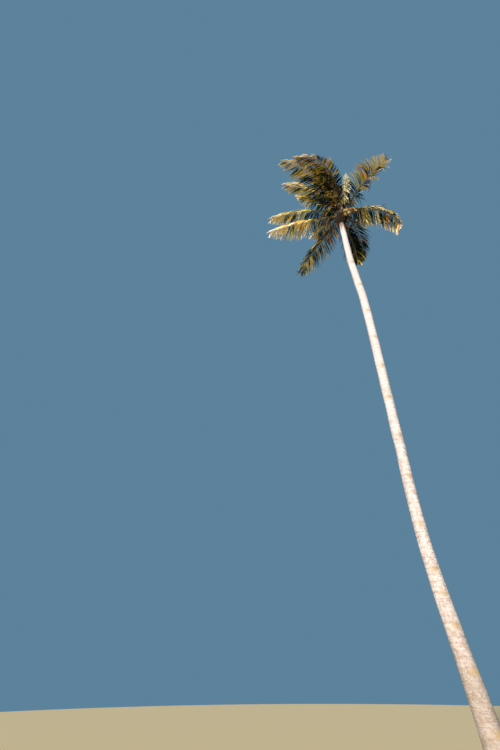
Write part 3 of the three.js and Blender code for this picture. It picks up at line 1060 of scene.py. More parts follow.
    def cut_cracks(self, height: Array) -> Array:
        """Cut the upright cracks.

        Args:
            height: The height of each ring and side.

        Returns:
            How deep they cut at each ring and side, from 0 to 1.
        """
        rng, turn, step = self.rng, self.turn, TURN / self.sides
        depth = np.zeros_like(height)
        for _ in range(self.cracks):
            span = self.top - self.crack_free_top
            low = self.first_scar + span * rng.uniform() ** self.crack_crowding
            length = rng.uniform(*self.crack_length)
            at = rng.uniform(0, TURN)
            slant = rng.uniform(-self.crack_slant, self.crack_slant)
            deep = rng.uniform(*self.crack_depth) / self.crack_depth[1]
            inside = np.clip((height - low) / length, 0, 1)
            wobble = self.crack_wobble * np.sin(height * self.wobble_rise + at)
            apart = np.abs(away_from(turn, at + slant * (height - low) + wobble)) / step
            body = np.clip(np.sin(math.pi * inside) * self.crack_ends, 0, 1)
            depth = np.maximum(depth, deep * body * np.clip(1 - apart, 0, 1))
        return depth

    def wear_footholds(self, height: Array) -> Array:
        """Wear the climbers' footholds into the rind.

        Args:
            height: The height of each ring and side.

        Returns:
            How worn the rind is at each ring and side, from 0 to 1.
        """
        rng, turn = self.rng, self.turn
        worn = np.zeros_like(height)
        wide, high = self.foothold_size
        levels = list(self.footholds)
        while levels[-1] < self.top - self.foothold_free_top:
            levels.append(levels[-1] + self.foothold_step * rng.uniform(*self.step_spread))
        for number, level in enumerate(levels):
            other = math.pi * (number % 2) if number >= len(self.footholds) else 0.0
            drift = rng.uniform(-self.foothold_drift, self.foothold_drift)
            at = math.radians(self.foothold_way) + other + drift
            across = away_from(turn, at) * self.radius(height) / wide
            up = (height - level) / high
            patch = np.exp(-(across ** 2 + up ** 2) ** self.foothold_edge)
            worn = np.maximum(worn, patch * rng.uniform(*self.foothold_wear))
        return worn

    def build_rootlets(self, finish: Material) -> Piece:
        """Hang a mat of rootlets round the foot, down to the ground.

        Args:
            finish: The rootlets' material.

        Returns:
            The rootlets' object.
        """
        rng = np.random.default_rng(self.rootlet_seed)
        count, column = self.rootlets, (self.rootlets, 1)
        share = np.linspace(0, 1, self.rootlet_stations)
        turn = rng.uniform(0, TURN, count)
        edge = self.root_height + waves(turn, self.root_edge[:2])
        top = (edge * rng.uniform(*self.rootlet_rise, count))[:, None]
        thick = rng.uniform(*self.rootlet_radius, count)[:, None] * (1 - self.rootlet_taper * share)
        curve = rng.uniform(*self.rootlet_curve, column)
        height = self.rootlet_end + (top - self.rootlet_end) * (1 - share) ** curve
        drift = rng.uniform(-self.rootlet_drift, self.rootlet_drift, column)
        way = turn[:, None] + drift * share
        phase = rng.uniform(0, TURN, column)
        way = way + self.rootlet_wave * np.sin(self.rootlet_waves * share + phase)
        first, span = self.rootlet_arch
        arch = np.sin(math.pi * share * span + first)
        proud = rng.uniform(0.0, self.rootlet_proud, column) * arch
        splay = rng.uniform(0.0, self.rootlet_splay, column) * share ** 3
        sink = self.rootlet_sink * (1 - share) ** self.sink_power
        reach = self.radius(height) + proud + splay - sink
        out = level_way(way)
        batch = Batch()
        paths = self.centre(height) + reach[..., None] * out
        batch.add_strands(paths, thick, out[:, 0], self.rootlet_sides)
        return batch.build("foot_rootlets", [finish], self.rootlet_crease)


@dataclass
class Heart:
    """The bulb of leaf bases on the trunk's top, matted with fibre."""

    trunk: Trunk
    seat_gap: float = 0.0003
    # Its radius at heights over the trunk's top.
    rings: tuple[Range, ...] = (
        (0.0, 0.118), (0.11, 0.165), (0.33, 0.205), (0.62, 0.200), (0.95, 0.160), (1.20, 0.105),
        (1.38, 0.050))
    lean: float = 0.2
    sides: int = 80
    cuts: tuple[int, int] = (12, 12)
    crease: float = 70.0
    seed: int = 21
    # The crossed weave of the fibre cloth, and the height, lobes, twist and phase of its folds.
    weave_height: float = 0.003
    weave_lobes: int = 26
    weave_rise: float = 60.0
    fold_share: float = 1.3
    folds: tuple[tuple[float, int, float, float], ...] = ((1.0, 7, 5.0, 0.0), (0.6, 4, -7.0, 1.3))
    cloth_noise: float = 0.0007
    # The sheaths' flat lower edges keep clear of the trunk's top over this height.
    clear_edge: float = 0.05
    # Where the bulb starts to close at its top, over what height, and by what share.
    closing: Triple = (1.30, 0.085, 0.55)

    strands: int = 1500
    strand_seed: int = 22
    strand_stations: int = 7
    strand_sides: int = 3
    strand_crease: float = 80.0
    strand_start: Range = (0.0, 1.15)
    strand_length: Range = (0.05, 0.30)
    length_spread: Range = (0.4, 1.0)
    strand_droop: float = 1.15
    strand_drift: float = 0.8
    strand_wave: float = 0.05
    strand_waves: Range = (5.0, 9.0)
    strand_gap: float = 0.004
    strand_proud: float = 0.045
    strand_arch: Range = (0.1, 0.7)
    strand_radius: float = 0.0014
    radius_spread: Range = (0.6, 1.6)
    strand_taper: float = 0.6

    def centre(self, height: Array | float) -> Array:
        """Find the bulb's middle.

        Args:
            height: Heights over the trunk's top.

        Returns:
            The points at those heights.
        """
        top = self.trunk.centre(np.array(self.trunk.top))
        height = np.asarray(height, float)
        parts = (height * self.lean, np.zeros_like(height), height + self.seat_gap)
        return top + np.stack(parts, axis=-1)

    def radius(self, height: Array | float) -> Array:
        """Find the bulb's plain radius at heights over the trunk's top."""
        heights, radii = zip(*self.rings)
        return np.interp(height, heights, radii)

    def build(self, fibre: Material) -> Piece:
        """Model the bulb with its crossed fibre cloth.

        Args:
            fibre: The fibre's material.

        Returns:
            The bulb's object.
        """
        rng = np.random.default_rng(self.seed)
        turn = TURN * np.arange(self.sides) / self.sides
        rings = self.cuts[0] * self.cuts[1]
        height = np.linspace(0, self.rings[-1][0], rings + 1)[:, None]
        around, up = self.weave_lobes * turn, self.weave_rise * height
        weave = np.cos(around + up) * np.cos(around - up)
        folds = sum(rise * np.cos(lobes * turn + twist * height + phase)
                    for rise, lobes, twist, phase in self.folds)
        relief = self.weave_height * (weave + self.fold_share * folds)
        relief += rng.normal(0, self.cloth_noise, relief.shape)
        relief *= eased(height / self.clear_edge)
        start, span, share = self.closing
        radius = self.radius(height) * (1 - eased((height - start) / span) * share)
        stock = Stock.turned("heart_matting", self.sides, self.cuts)
        stock.place(self.centre(height) + (radius + relief)[..., None] * level_way(turn))
        stock.body.data.materials.append(fibre)
        smooth(stock.body, self.crease)
        return stock.body

    def build_strands(self, fibre: Material) -> Piece:
        """Fray the matting into loose strands that hang round the bulb and over the trunk's top.

        Args:
            fibre: The strands' material.

        Returns:
            The strands' object.
        """
        rng = np.random.default_rng(self.strand_seed)
        column = (self.strands, 1)
        share = np.linspace(0, 1, self.strand_stations)
        turn = rng.uniform(0, TURN, column)
        start = rng.uniform(*self.strand_start, column)
        length = rng.uniform(*self.strand_length, column) * rng.uniform(*self.length_spread, column)
        height = start - length * share ** self.strand_droop
        drift = rng.uniform(-self.strand_drift, self.strand_drift, column)
        way = turn + drift * share * length / self.strand_length[1]
        along, around = self.strand_waves
        way = way + self.strand_wave * np.sin(along * share + around * turn)
        trunk_height = np.minimum(self.trunk.top + height, self.trunk.top)
        below = height < 0
        bulb = self.radius(np.maximum(height, 0))
        plain = np.where(below, self.trunk.radius(trunk_height), bulb)
        first, span = self.strand_arch
        arch = np.sin(math.pi * (first + span * share))
        proud = self.strand_gap + rng.uniform(0.0, self.strand_proud, column) * arch
        middle = np.where(below[..., None], self.trunk.centre(trunk_height), self.centre(height))
        out = level_way(way)
        thin = rng.uniform(*self.radius_spread, column) * (1 - self.strand_taper * share)
        batch = Batch()
        batch.add_strands(middle + (plain + proud)[..., None] * out, self.strand_radius * thin,
                          out[:, 0], self.strand_sides)
        return batch.build("heart_strands", [fibre], self.strand_crease)


@dataclass(frozen=True)
class LeafSize:
    """How large a leaf's parts are: full-grown, or young and still half folded."""

    slimness: float
    leaflet: float
    width: float
    per_side: int


GROWN = LeafSize(slimness=1.0, leaflet=0.96, width=0.043, per_side=104)
YOUNG = LeafSize(slimness=0.55, leaflet=0.42, width=0.030, per_side=46)


@dataclass(frozen=True)
class Pose:
    """One frond's way (degrees from +X towards +Y), rise at its foot, length, droop by its tip, the
    wind's sweep of its spine and blow on its leaflets, the leaflets' hang, the foot's lift, and how
    far its left and right leaflets dip; then how golden it is, partly dryness and partly painted
    sunlight, and how brown it is, from 0 to 1."""

    way: float
    rise: float
    length: float
    droop: float
    sweep: float
    blow: float
    hang: float
    lift: float
    dips: Range
    gold: float
    brown: float


# The gold column is partly painted sunlight: it is low on the fronds that hang in shade and high on
# the sunlit ones.
FRONDS = (
    Pose(-26, 41, 2.80, 40, 0.0, 1.1, 0.1, 0.00, (-10, 5), 0.75, 0.20),
    Pose(24, 35, 3.60, 149, 0.1, 0.1, 2.8, 0.00, (30, 25), 0.60, 0.25),
    Pose(75, 40, 3.50, 119, 0.5, 0.1, 1.3, 0.00, (30, 35), 0.00, 0.12),
    Pose(79, 0, 2.25, 71, 0.2, 0.1, 1.2, 0.00, (35, 35), 0.00, 0.12),
    Pose(140, 11, 3.30, 52, 0.2, 0.1, 0.6, 0.00, (40, 22), 0.35, 0.08),
    Pose(128, 43, 2.90, 35, 0.4, 0.3, 0.5, 0.00, (40, 22), 0.50, 0.05),
    Pose(178, 24, 3.55, 36, 0.3, 0.3, 0.8, 0.00, (60, 30), 1.00, 0.04),
    Pose(176, 42, 3.90, 41, 0.3, 0.5, 0.7, 0.00, (55, 30), 0.60, 0.02),
    Pose(167, 61, 3.45, 10, 0.3, 0.8, 0.4, 0.00, (40, 22), 0.40, 0.05),
    Pose(198, 60, 3.45, 40, 0.5, 0.9, 0.3, 0.06, (50, -15), 0.70, 0.05),
    Pose(242, 45, 3.70, 73, 0.8, 0.7, 0.9, 0.00, (60, 25), 0.50, 0.10),
    Pose(268, 47, 3.60, 96, 2.4, 0.8, 0.9, 0.00, (65, 0), 0.50, 0.25),
    Pose(250, 56, 2.25, 46, 0.4, 0.8, 0.5, 0.06, (35, 25), 0.70, 0.60),
    Pose(64, 56, 3.35, 62, 0.3, 0.4, 0.9, 0.00, (30, 35), 0.70, 0.02),
    Pose(112, 64, 3.10, 40, 0.1, 0.6, 0.6, 0.06, (25, 25), 0.35, 0.02),
    Pose(95, 75, 2.90, 34, 0.2, 0.5, 0.4, 0.00, (22, 22), 0.35, 0.02),
)
# The fronds between these ways face the sun and get the paler midrib, partly sun bleaching and
# partly painted sunlight; the others get the darker one, partly painted shade.
SUNNY_WAYS = (170, 245)
YOUNG_LEAVES = {
    "young_leaf": Pose(320, 76, 1.75, 16, 0.1, 0.5, 0.1, 0.02, (22, 22), 0.2, 0.0),
    "spear_leaf": Pose(10, 85, 1.90, 8, 0.1, 0.3, 0.0, -0.06, (22, 22), 0.1, 0.0),
}


@dataclass(frozen=True)
class Uneven:
    """How uneven a measure of the leaflets is: each spray's share of it, and each leaflet's own."""

    shared: float
    own: float


@dataclass
class Frond:
    """One feather frond: a clasping base, a tapering midrib and two rows of leaflets."""

    name: str
    pose: Pose
    size: LeafSize
    heart: Heart
    seed: int
    foot_share: float = 0.45
    foot_base: float = 0.25
    foot_per_degree: float = 0.0125
    foot_section: Range = (0.070, 0.034)
    neck_section: Range = (0.038, 0.024)
    tip_section: Range = (0.007, 0.007)
    neck_at: float = 0.14
    spine_steps: int = 64
    droop_power: float = 1.5
    # The spine comes out of the bulb somewhere on this share of it, looked for at so many points.
    exit_search: float = 0.4
    exit_points: int = 400

    # The midrib's mesh: its sides, its rings, and how many of these lie on the clasping base.
    rib_sides: int = 14
    rib_cuts: tuple[int, int] = (10, 11)
    rib_crease: float = 50.0
    base_rings: int = 26
    # The base joins the spine this far out, and starts this far down, but not below or above these.
    base_join: float = 0.10
    base_drop: float = 0.36
    base_levels: Range = (0.015, 1.25)
    # How far a low base stands proud of the bulb, over the least; the bulb's height for that.
    base_proud: Range = (0.004, 0.012)
    proud_height: float = 1.3
    base_curve: float = 0.9
    base_wrap: float = 1.15
    clasp_end: float = 1.05
    base_thickness: float = 0.007
    # The share of the base that its rounded lower edge takes, and how narrow the edge ends.
    edge_share: float = 0.16
    edge_width: float = 0.08
    edge_depth: float = 0.4
    # How strongly the midrib is dished at shares of its length; its upper side is flatter.
    dish_at: Triple = (0.0, 0.12, 0.35)
    dish: Triple = (0.9, 0.7, 0.0)
    upper_depth: float = 0.8

    # Where the leaflets start, how their length swells and ends, and their angles off the midrib.
    blade_start: float = 0.12
    blade_ends: Range = (0.001, 0.999)
    length_arc: Range = (0.18, 0.90)
    spread: Range = (72.0, 32.0)
    # How far a leaflet keeps from the spine's own plane at a quarter and three quarters of it.
    least_away: Range = (0.85, 0.25)
    away_at: Range = (0.25, 0.75)
    # A leaflet's rings, its fold in degrees near the root and at the tip, and its thickness.
    stations: int = 8
    fold: Range = (34.0, 8.0)
    thickness: float = 0.0022
    thin_tip: float = 0.6
    leaflet_crease: float = 35.0
    # Where a leaflet leaves the midrib, as shares of its half width and half depth.
    root_out: float = 0.7
    root_up: float = 0.25
    # How narrow a leaflet is at its root and over what share it widens, then how it tapers.
    root_width: float = 0.34
    widen_share: float = 0.28
    taper_powers: Range = (2.2, 0.8)

    # The fewest and most leaflets of a spray, and how far in degrees the spray fans out.
    spray: tuple[int, int] = (2, 5)
    fan: float = 3.2
    place_noise: float = 0.15
    spread_noise: Uneven = Uneven(6.5, 3.0)
    dip_noise: Uneven = Uneven(10.0, 6.5)
    length_noise: float = 0.06
    hang_noise: Uneven = Uneven(0.30, 0.16)
    blow_noise: Uneven = Uneven(0.20, 0.12)
    twist_noise: Uneven = Uneven(14.0, 9.0)
    # The share of snapped leaflets, and how many more on a brown frond; where they snap and fall.
    snapped: Range = (0.10, 0.12)
    snap_free_tip: float = 0.8
    snap_at: Range = (0.35, 0.85)
    snap_fall: float = 1.6

    # The share of golden sprays near the base, more towards the tip, and more on the side that faces
    # the way sunny_side; golden sprays are partly dry leaflets and partly painted sunlight.
    ripe_and_sunlit_share: Triple = (0.3, 1.0, 0.2)
    sunny_side: Triple = (-0.45, -0.70, 0.56)
    sunny_from: float = 0.15
    # Where a golden and a green spray's tints start near the frond's base, in steps of the tints;
    # the green sprays' dark tints are partly painted shade.
    ripe_and_sunlit_level: float = 3.4
    green_and_shaded_level: float = 0.5
    tip_level: float = 0.5
    bleached_from: float = 0.7
    level_noise: Uneven = Uneven(0.45, 0.35)
    # The leaflets nearest the heart are shaded by the rest, and the oldest of them have died.
    shaded_reach: float = 0.38
    shaded_depth: float = 2.4
    dead_inner: float = 0.22
    dead_share: Range = (0.1, 2.0)
    amber_share: float = 0.5
    pale_young: float = 0.9
    # Where along a leaflet its end dries by one step, sooner by the frond's tip, then by another.
    dry_from: Range = (0.45, 1.25)
    dry_sooner: float = 0.35
    dry_green: float = 0.4
    dry_again: Range = (0.15, 0.45)

    # Torn strips of sheath cloth along the stalk's base.
    rags: int = 34
    rag_seed: int = 50
    rag_stations: int = 6
    rag_crowding: float = 1.4
    rag_reach: float = 0.50
    rag_inside: float = 0.04
    rag_root: float = 0.8
    rag_length: Range = (0.07, 0.34)
    rag_width: Range = (0.008, 0.036)
    rag_thickness: float = 0.0012
    # A strip's first way along the stalk and sideways, its noise, then its fall, curl and taper.
    rag_first: Range = (0.45, 0.30)
    rag_noise: Range = (0.12, 0.10)
    rag_wind: float = 0.30
    rag_fall: float = 1.6
    rag_curl: float = 0.7
    rag_taper: Range = (0.75, 1.5)

    def __post_init__(self) -> None:
        """Start the leaflets' random numbers and work out the way out and the spine."""
        self.rng = np.random.default_rng(self.seed)
        self.out = level_way(math.radians(self.pose.way))
        self.spine = self.make_spine()

    def foot_height(self) -> float:
        """How high over the trunk's top the spine starts."""
        return self.foot_base + self.foot_per_degree * self.pose.rise + self.pose.lift

    def make_spine(self) -> dict[str, Array]:
        """Grow the spine from its foot in the bulb.

        Returns:
            Its points, with the way along it, to its left and up out of it.
        """
        pose, out = self.pose, self.out
        height = self.foot_height()
        foot = self.heart.centre(height) + out * self.foot_share * self.heart.radius(height)
        share = (np.arange(self.spine_steps) + 0.5) / self.spine_steps
        angle = np.radians(pose.rise - pose.droop * share ** self.droop_power)[:, None]
        blown = WIND * pose.sweep * share[:, None] ** 3
        step = unit(out * np.cos(angle) + UP * np.sin(angle) + blown)
        points = foot + np.cumsum(step * pose.length / self.spine_steps, axis=0)
        return self.with_sides(np.vstack((foot, points)))

    def with_sides(self, points: Array) -> dict[str, Array]:
        """Give each point of a path its directions.

        Args:
            points: The path's points.

        Returns:
            The points, with the way along the path, to its left and up out of it.
        """
        left = np.cross(UP, self.out)
        padded = np.vstack((points[:1], points, points[-1:]))
        along = unit(padded[2:] - padded[:-2])
        side = upright_across(np.broadcast_to(left, along.shape), along)
        return {"point": points, "along": along, "side": side, "rise": np.cross(along, side)}

    def at(self, share: Array | float) -> dict[str, Array]:
        """Find the spine's place and directions.

        Args:
            share: Shares of its length.

        Returns:
            What with_sides gives, at those shares.
        """
        most = self.spine_steps - TINY
        place = np.clip(np.asarray(share, float) * self.spine_steps, 0, most)
        low = place.astype(int)
        part = (place - low)[..., None]
        return {key: rows[low] * (1 - part) + rows[low + 1] * part
                for key, rows in self.spine.items()}

    def section(self, share: Array | float) -> tuple[Array, Array]:
        """Find the midrib's section.

        Args:
            share: Shares of its length.

        Returns:
            Its half width and half depth there.
        """
        clasp = self.heart.radius(self.foot_height()) / max(r for _, r in self.heart.rings)
        made = []
        for foot, neck, tip in zip(self.foot_section, self.neck_section, self.tip_section):
            sizes = (max(foot * clasp, neck), neck, tip)
            made.append(np.interp(share, (0, self.neck_at, 1), sizes) * self.size.slimness)
        return made[0], made[1]

    def leaves_heart_at(self) -> float:
        """Find where the spine comes out through the bulb's surface.

        Returns:
            The share of the spine's length.
        """
        share = np.linspace(0, self.exit_search, self.exit_points)
        points = self.at(share)["point"]
        height = points[:, 2] - self.heart.trunk.top
        apart = np.linalg.norm((points - self.heart.centre(height))[:, :2], axis=1)
        clear = (apart > self.heart.radius(height)) | (height > self.heart.rings[-1][0])
        return float(share[np.argmax(clear)])

    def base_path(self, low: float, proud: float, join: float) -> tuple[Array, Array]:
        """Run the clasping base up the bulb and out into the spine.

        Args:
            low: The height over the trunk's top at which it starts.
            proud: How far it stands off the bulb there.
            join: The share of the spine at which it arrives.

        Returns:
            Its points, and how far along it each is, as a share.
        """
        free = self.at(join)
        start = self.heart.centre(low) + self.out * (self.heart.radius(low) + proud)
        pull = np.linalg.norm(free["point"] - start) * self.base_curve
        leave = (UP + self.heart.lean * np.array((1.0, 0.0, 0.0))) * pull
        arrive = free["along"] * pull
        share = np.linspace(0, 1, self.base_rings, endpoint=False)
        t = share[:, None]
        points = ((2 * t ** 3 - 3 * t ** 2 + 1) * start + (t ** 3 - 2 * t ** 2 + t) * leave
                  + (3 * t ** 2 - 2 * t ** 3) * free["point"] + (t ** 3 - t ** 2) * arrive)
        return points, share

    def build_rib(self, finish: Material) -> Piece:
        """Model the clasping base, the stalk and the midrib as one tapering piece.

        Args:
            finish: The stalk's material.

        Returns:
            The midrib's object.
        """
        base, slim = self.base_rings, self.size.slimness
        exit_at = self.leaves_heart_at()
        join = exit_at + self.base_join / self.pose.length
        level = float(self.at(exit_at)["point"][2]) - self.heart.trunk.top
        lowest, highest = self.base_levels
        low = max(min(level, highest) - self.base_drop * (0.5 + 0.5 * slim), lowest)
        proud = self.base_proud[0] + self.base_proud[1] * (1 - low / self.proud_height)
        points, base_share = self.base_path(low, proud, join)
        rings = self.rib_cuts[0] * self.rib_cuts[1]
        share = np.linspace(join, 1, rings + 1 - base)
        path = self.with_sides(np.vstack((points, self.at(share)["point"])))
        half, depth = self.section(np.concatenate((np.full(base, join), share)))
        clasp = 1 - eased(base_share * self.clasp_end)
        around = self.heart.radius(low) + proud
        wrap = self.base_wrap * self.heart.radius(low) * slim ** 2
        rounded = np.sqrt(np.clip(base_share / self.edge_share, 0.0, 1.0))
        edge = rounded * (1 - self.edge_width) + self.edge_width
        half[:base] = (half[:base] + (wrap - half[:base]) * clasp) * edge
        depth[:base] += (self.base_thickness - depth[:base]) * clasp
        depth[:base] *= self.edge_depth + (1 - self.edge_depth) * edge
        bend = np.interp(share, self.dish_at, self.dish) / half[base:]
        bend = np.concatenate((bend[0] + (1.0 / around - bend[0]) * clasp, bend))
        turn = TURN * np.arange(self.rib_sides) / self.rib_sides
        flat = half[:, None] * np.cos(turn)
        thick = depth[:, None] * np.sin(turn)
        thick = np.where(thick > 0, self.upper_depth * thick, thick)
        arc = np.maximum(bend, TINY)[:, None]
        across = (np.sin(flat * arc) / arc) * (1 - thick * arc)
        inward = (1 - np.cos(flat * arc)) / arc + thick * np.cos(flat * arc)
        stock = Stock.turned(f"{self.name}_rib", self.rib_sides, self.rib_cuts)
        stock.place(path["point"][:, None] + path["side"][:, None] * across[..., None]
                    + path["rise"][:, None] * inward[..., None])
        steps = np.linalg.norm(np.diff(path["point"], axis=0), axis=1)
        length = np.concatenate(((0,), np.cumsum(steps)))[:, None]
        stock.mark("vein", np.stack(np.broadcast_arrays(flat, length, thick), axis=-1))
        stock.mark("reach", np.broadcast_to(length / length[-1], flat.shape))
        stock.body.data.materials.append(finish)
        smooth(stock.body, self.rib_crease)
        return stock.body

    def add_rags(self, batch: Batch) -> None:
        """Hang torn strips of sheath cloth from both edges of the stalk's base.

        Args:
            batch: Where the strips go.
        """
        rng = np.random.default_rng(self.seed + self.rag_seed)
        count = self.rags
        out = rng.uniform(0, 1, count) ** self.rag_crowding
        reach = (out * self.rag_reach - self.rag_inside) / self.pose.length
        share = self.leaves_heart_at() + reach
        root = self.at(share)
        half, _ = self.section(share)
        hand = rng.choice((-1.0, 1.0), count)[:, None]
        start = root["point"] + root["side"] * hand * self.rag_root * half[:, None]
        length = rng.uniform(*self.rag_length, count) * (1 - 0.5 * out)
        t = np.linspace(0, 1, self.rag_stations)[None, :, None]
        ahead, aside = self.rag_first
        first = ahead * root["along"] + aside * hand * root["side"]
        first = first + rng.normal(0, self.rag_noise[0], (count, 3))
        fall = -UP + self.rag_wind * WIND + rng.normal(0, self.rag_noise[1], (count, 3))
        bend = t * first[:, None] + t ** self.rag_fall * fall[:, None]
        paths = start[:, None] + length[:, None, None] * bend
        along = unit(np.gradient(paths, axis=1))
        across = upright_across(np.broadcast_to(root["along"][:, None], paths.shape), along)
        spin = rng.normal(0, self.rag_curl, (count, 1, 1)) * t
        across, over = turned_about(across, np.cross(along, across), spin)
        narrowing, power = self.rag_taper
        wide = rng.uniform(*self.rag_width, (count, 1, 1)) / 2 * (1 - narrowing * t ** power)
        across, over = across * wide, over * self.rag_thickness
        batch.add_strips(np.stack((paths + across, paths + over, paths - across, paths - over),
                                  axis=2))

    def deal_tints(self, blade: Array, spray: Array, upper: Array) -> Array:
        """Deal each leaflet its tint by its spray and its place on the frond.

        Args:
            blade: Each leaflet's place from the frond's base to its tip.
            spray: The number of the spray that it hangs in.
            upper: Whether it is on the side of the frond that faces the sun, which gets more golden
                sprays as painted sunlight.

        Returns:
            The number of each leaflet's tint.
        """
        rng, gold, brown = self.rng, self.pose.gold, self.pose.brown
        count, sprays = len(blade), spray.max() + 1
        foot, tip, sunny = self.ripe_and_sunlit_share
        # Golden sprays are partly dry leaflets and partly painted sunlight; the rest get dark green
        # tints that are partly painted shade.
        ripe_and_sunlit = rng.uniform(size=sprays)[spray] < gold * (foot + tip * blade + sunny * upper)
        level = np.where(ripe_and_sunlit, self.ripe_and_sunlit_level, self.green_and_shaded_level)
        level = level + (self.tip_level + gold) * blade ** 2
        level += gold * eased((blade - self.bleached_from) / (1 - self.bleached_from))
        level += rng.normal(0, self.level_noise.shared, sprays)[spray]
        level += rng.normal(0, self.level_noise.own, count)
        inner = 1 - eased(blade / self.shaded_reach)
        level -= self.shaded_depth * inner
        level = np.clip(np.rint(level), 0, TINTS.index(Tint.BLEACHED)).astype(int)
        if self.size is YOUNG:
            pale = rng.uniform(size=count) < self.pale_young
            fresh = np.clip(level + 1, TINTS.index(Tint.OLIVE), TINTS.index(Tint.GOLD))
            return np.where(pale, TINTS.index(Tint.CREAM), fresh)
        foot, tip = self.dead_share
        dead = brown * (foot + tip * blade ** 3) + self.dead_inner * inner
        dead = rng.uniform(size=sprays)[spray] < dead
        amber = rng.uniform(size=count) < self.amber_share
        dried = np.where(amber, TINTS.index(Tint.AMBER), TINTS.index(Tint.RUST))
        return np.where(dead, dried, level)

    def build_leaflets(self, finishes: Sequence[Material]) -> Piece:
        """Grow both rows of leaflets by the frond's rule, finer than its solid has them.

        Args:
            finishes: The leaflet materials in the tints' order.

        Returns:
            The leaflets' object.
        """
        rng, pose, size = self.rng, self.pose, self.size
        blade = np.repeat((np.arange(size.per_side) + 0.5) / size.per_side, 2)
        count = len(blade)
        hand = np.tile((1.0, -1.0), size.per_side)
        blade = blade + rng.normal(0, self.place_noise / size.per_side, count)
        blade = np.clip(blade, *self.blade_ends)
        spray, offset = self.gather_sprays(count)
        share = self.blade_start + (1 - self.blade_start) * blade
        root, section = self.at(share), self.section(share)
        sprays = spray.max() + 1
        shared = {key: rng.normal(0, 1, sprays)[spray] for key in ("spread", "hang", "twist", "dip")}

        def vary(key: str, by: Uneven) -> Array:
            """Give each leaflet its spray's share of a measure's unevenness and its own."""
            return by.shared * shared[key] + rng.normal(0, by.own, count)

        spread = np.interp(blade, (0, 1), self.spread) + vary("spread", self.spread_noise)
        spread = np.radians(spread - self.fan * offset)[:, None]
        dip = np.radians(np.where(hand > 0, *pose.dips) + vary("dip", self.dip_noise))[:, None]
        sideways = hand[:, None] * root["side"]
        start = (root["along"] * np.cos(spread) + sideways * np.cos(dip) * np.sin(spread)
                 - root["rise"] * np.sin(dip) * np.sin(spread))
        length = size.leaflet * np.sin(math.pi * np.interp(blade, (0, 1), self.length_arc))
        length *= 1 - np.abs(rng.normal(0, self.length_noise, count))
        hang = pose.hang * (1 + vary("hang", self.hang_noise))
        blow = pose.blow * (1 + vary("twist", self.blow_noise))
        snapped = (self.snapped[0] + self.snapped[1] * pose.brown) * (blade < self.snap_free_tip)
        snapped = rng.uniform(size=count) < snapped
        breaks = np.where(snapped, rng.uniform(*self.snap_at, count), math.inf)
        points, ways = self.run_leaflets(root, section, sideways, start, length, hang, blow, breaks)
        twist = np.radians(vary("twist", self.twist_noise))[:, None]
        rings, tips, veins = self.fold_blades(root, hand, points, ways, twist, length)
        # The leaflets whose side faces the sun, which get more golden tints as painted sunlight.
        upper = (root["side"] @ np.array(self.sunny_side)) * hand > self.sunny_from
        tints = self.dry_ends(self.deal_tints(blade, spray, upper), blade)
        batch = Batch()
        batch.add_strips(rings, tints, veins, tips)
        return batch.build(f"{self.name}_leaflets", finishes, self.leaflet_crease)

    def gather_sprays(self, count: int) -> tuple[Array, Array]:
        """Gather neighbouring leaflets of each side into sprays that lean together.

        Args:
            count: How many leaflets there are, by turns left and right.

        Returns:
            Each leaflet's spray, and how far before or behind its spray's middle it stands.
        """
        spray = np.zeros(count, int)
        offset = np.zeros(count)
        number = 0
        for first in (0, 1):
            rows = np.arange(first, count, 2)
            while len(rows):
                size = int(self.rng.integers(self.spray[0], self.spray[1] + 1))
                own, rows = rows[:size], rows[size:]
                spray[own] = number
                offset[own] = np.arange(len(own)) - (len(own) - 1) / 2
                number += 1
        return spray, offset

    def run_leaflets(self, root: dict[str, Array], section: tuple[Array, Array], sideways: Array,
                     start: Array, length: Array, hang: Array, blow: Array,
                     breaks: Array) -> tuple[Array, Array]:
        """Run each leaflet from its root to its tip under its weight and the wind.

        Args:
            root: The spine's place and directions at each leaflet.
            section: The midrib's half width and half depth there.
            sideways: The way out of the midrib on the leaflet's side.
            start: The way it leaves the midrib.
            length: Its length.
            hang: How much its weight bends it.
            blow: How much the wind bends it.
            breaks: Where it is snapped, or infinity.

        Returns:
            Its points and its way at each of them.
        """
        half, depth = section
        foot = (root["point"] + sideways * (self.root_out * half)[:, None]
                + root["rise"] * (self.root_up * depth)[:, None])
        share = np.linspace(0, 1, self.stations + 1)
        points, ways = [foot], []
        for low, high in zip(share[:-1], share[1:]):
            t = (low + high) / 2
            way = start - UP * (hang * t)[:, None] + WIND * (blow * t)[:, None]
            way = np.where((t > breaks)[:, None], way - self.snap_fall * UP, way)
            away = (way * sideways).sum(-1, keepdims=True)
            rest = np.linalg.norm(way - away * sideways, axis=-1, keepdims=True)
            least = np.interp(t, self.away_at, self.least_away) * rest
            way = unit(way + sideways * np.maximum(least - away, 0.0))
            ways.append(way)
            points.append(points[-1] + way * (length * (high - low))[:, None])
        inner = [unit(before + after) for before, after in zip(ways, ways[1:])]
        along = [ways[0]] + inner + [ways[-1]]
        return np.stack(points, axis=1), np.stack(along, axis=1)

